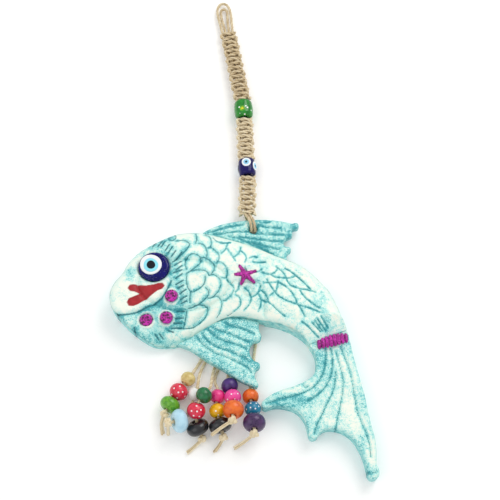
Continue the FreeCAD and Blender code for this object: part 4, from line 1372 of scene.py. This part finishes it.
def make_knot(name, middle, coming, tail, look):
    """An overhand knot pulled tight, and the cut end that hangs from it."""
    turn = UP.rotation_difference(Vector(coming).normalized()).to_matrix()
    seed = seed_of(name)
    spin = Matrix.Rotation(seed * 0.7, 3, "Z")
    loop = []
    for k in range(73):
        t = 2 * math.pi * k / 72
        loop.append((math.sin(t) + 1.55 * math.sin(2 * t),
                     math.cos(t) - 1.55 * math.cos(2 * t), -1.25 * math.sin(3 * t)))
    loop = np.array([turn @ (spin @ (Vector(p) * 0.86)) for p in loop]) + middle
    tubes = Tubes()
    tubes.add(loop, 1.2, 0.62, 10)
    for ply in twisted(loop, 2.7, 6.0, 3, seed):
        tubes.add(ply, 0.72, 0.60, 8)
    end = evened(smoothed_line([np.array(p) / MM for p in tail], 8), 0.4)
    rng = np.random.default_rng(seed)
    _, side, lift = frames_along(end)
    share = np.linspace(0, 1, len(end))[:, None]
    for k in range(9):
        angle = rng.uniform(0, 2 * math.pi)
        away = 0.85 * math.sqrt(rng.uniform(0.1, 1))
        spread = 1 + 0.5 * share ** 3
        ply = end + away * spread * (math.cos(angle) * side + 0.8 * math.sin(angle) * lift)
        ply = ply[:len(ply) - int(rng.integers(0, 4))]
        ply[:, 2] = np.maximum(ply[:, 2], 0.64)
        tubes.add(ply, 0.60, 0.5 + rng.uniform(-0.25, 0.3), 7)
    return add_piece(name + "_tied", tubes.mesh(name), "tassel", "hemp", look, name)


def make_tie(look):
    """The ring of cord that holds the strands to the peg."""
    turns = np.linspace(0, 2 * math.pi, 97)
    ring = np.stack([5 + 4.25 * np.cos(turns), 35 + 4.25 * np.sin(turns),
                     np.full(len(turns), 1.4)], axis=1)
    tubes = Tubes()
    add_twine(tubes, ring, 2.2, lay=6.0, seed=5)
    add_piece("tassel_tie_twine", tubes.mesh("tassel_tie"), "tassel", "hemp", look,
              "tassel_tie")


# Each strap bead's middle and the way its bore runs, then its half width.
GREEN_MIDDLE, GREEN_RUN, GREEN_WIDE = (1.6, 189.25, 7.4), (-1.2, 15.3, 0), 7.3
EYE_MIDDLE, EYE_RUN, EYE_WIDE = (4.35, 138.4, 7.4), (-1.1, 13.6, 0), 6.6
GREEN_WHITE_DOTS = [(-1.0, 3.6), (1.8, 2.2), (4.9, 3.4), (3.0, 0.9), (-3.4, 1.2),
                    (-2.6, -3.6), (0.9, -4.3), (-4.9, 4.3), (5.6, -1.2)]
GREEN_FLOWER = [(-0.9, 0.2)]


def on_green_bead(marks):
    """Marks right of and above the green bead's middle, put on its surface."""
    return [tuple(RIGHT * right + VIEW_UP * above
                  + VIEW_BACK * math.sqrt(GREEN_WIDE ** 2 - right ** 2))
            for right, above in marks]


def make_strap_green_bead():
    mesh = closed_lathe("strap_green_bead", barrel_profile(GREEN_WIDE, 7.3, 2.6, 3.0), 64,
                        0.004, 2.0)
    flower = on_green_bead(GREEN_FLOWER)
    paint = Nodes("strap_green_paint")
    cloud = paint.noise(3.4, 3, 0.5)
    base = paint.mix(paint.span(cloud, 0.3, 0.7), (0.004, 0.15, 0.012), (0.015, 0.28, 0.02))
    petals = paint.times(paint.dots(flower, 2.1), paint.span(paint.noise(0.9, 2), 0.4, 0.6))
    base = paint.mix(petals, base, (0.35, 0.62, 0.02))
    base = paint.mix(paint.dots(flower, 0.95), base, (0.75, 0.72, 0.01))
    base = paint.mix(paint.dots(on_green_bead(GREEN_WHITE_DOTS), 0.72), base,
                     (0.88, 0.90, 0.86))
    paint.bump(cloud, 0.05)
    look = paint.bsdf(base, 0.14, specular=0.4, coat=0.2, coat_roughness=0.05)
    add_piece("strap_green_bead_wood", mesh, "strap", "green_wood", look,
              "strap_green_bead", at=bead_place(GREEN_MIDDLE, GREEN_RUN))


def make_strap_eye_bead():
    """A cobalt glass bead with three painted eyes round it."""
    mesh = closed_lathe("strap_eye_bead", barrel_profile(EYE_WIDE, 6.5, 2.6, 1.7), 64,
                        0.004, 1.0)
    add_piece("strap_eye_bead_glass", mesh, "strap", "cobalt_glass",
              glass_material("strap_eye_glass", (0.008, 0.004, 0.10), 0.1),
              "strap_eye_bead", at=bead_place(EYE_MIDDLE, EYE_RUN))
    layers = (("white", 3.5, 0.50, "white_glass",
               glass_material("strap_eye_white", (0.88, 0.92, 0.94), 0.0)),
              ("pale", 2.3, 0.66, "pale_blue_glass",
               glass_material("strap_eye_pale", (0.30, 0.66, 0.88), 0.0)),
              ("pupil", 1.15, 0.80, "black_glass",
               glass_material("strap_eye_black", (0.01, 0.02, 0.05), 0.0)))
    along = Vector((0.1, 1, 0)).normalized()
    for spot, (right, above, facing) in enumerate(((-0.8, 2.0, 1), (6.0, 0.4, 1),
                                                   (-6.0, 0.0, -1))):
        normal = (RIGHT * right + UP * facing * math.sqrt(EYE_WIDE ** 2 - right ** 2)
                  ).normalized()
        foot = Vector(EYE_MIDDLE) + along * above + normal * 6.25
        for layer, radius, lift, slot_name, look in layers:
            disc = lathe("spot", cushion_profile(radius, lift, lift * 0.8), 40, 0.02,
                         spot + radius)
            add_piece("strap_eye_%s_%d" % (layer, spot), disc, "strap", slot_name, look,
                      at=bead_place(foot, normal))


def barrel_profile(wide, tall, bore, corner):
    """A straight-sided bead with well rounded ends, slightly fuller in the middle."""
    fuller = 0.35
    inner = wide - fuller - corner
    turns = [0.5 * math.pi * k / 12 for k in range(13)]
    profile = [(bore, -tall + 0.3)]
    for turn in turns:
        profile.append((inner + corner * math.sin(turn), corner - tall - corner * math.cos(turn)))
    for share in (-0.6, -0.2, 0.2, 0.6):
        profile.append((wide - fuller * share * share, share * (tall - corner)))
    for turn in turns:
        profile.append((inner + corner * math.cos(turn), tall - corner + corner * math.sin(turn)))
    profile.append((bore, tall - 0.3))
    return profile


# --- everything ---------------------------------------------------------------------------

# Dark, middle and light of the strap's hemp, and of the tassel's paler hemp.
HEMP = ((0.15, 0.095, 0.04), (0.60, 0.47, 0.28), (0.92, 0.82, 0.60))
PALE_HEMP = ((0.30, 0.20, 0.10), (0.74, 0.60, 0.37), (0.93, 0.85, 0.64))

make_camera()
make_stage()
hemp = twine_material("hemp_twine", *HEMP)
pale_hemp = twine_material("pale_hemp", *PALE_HEMP)
make_loops(hemp)
make_tassel(pale_hemp)
make_tie(pale_hemp)
make_sinnets(hemp)
make_strap_green_bead()
make_strap_eye_bead()
make_body()
for fin in FINS:
    make_fin(fin)
make_eye()
make_buttons()
make_starfish()
make_band()
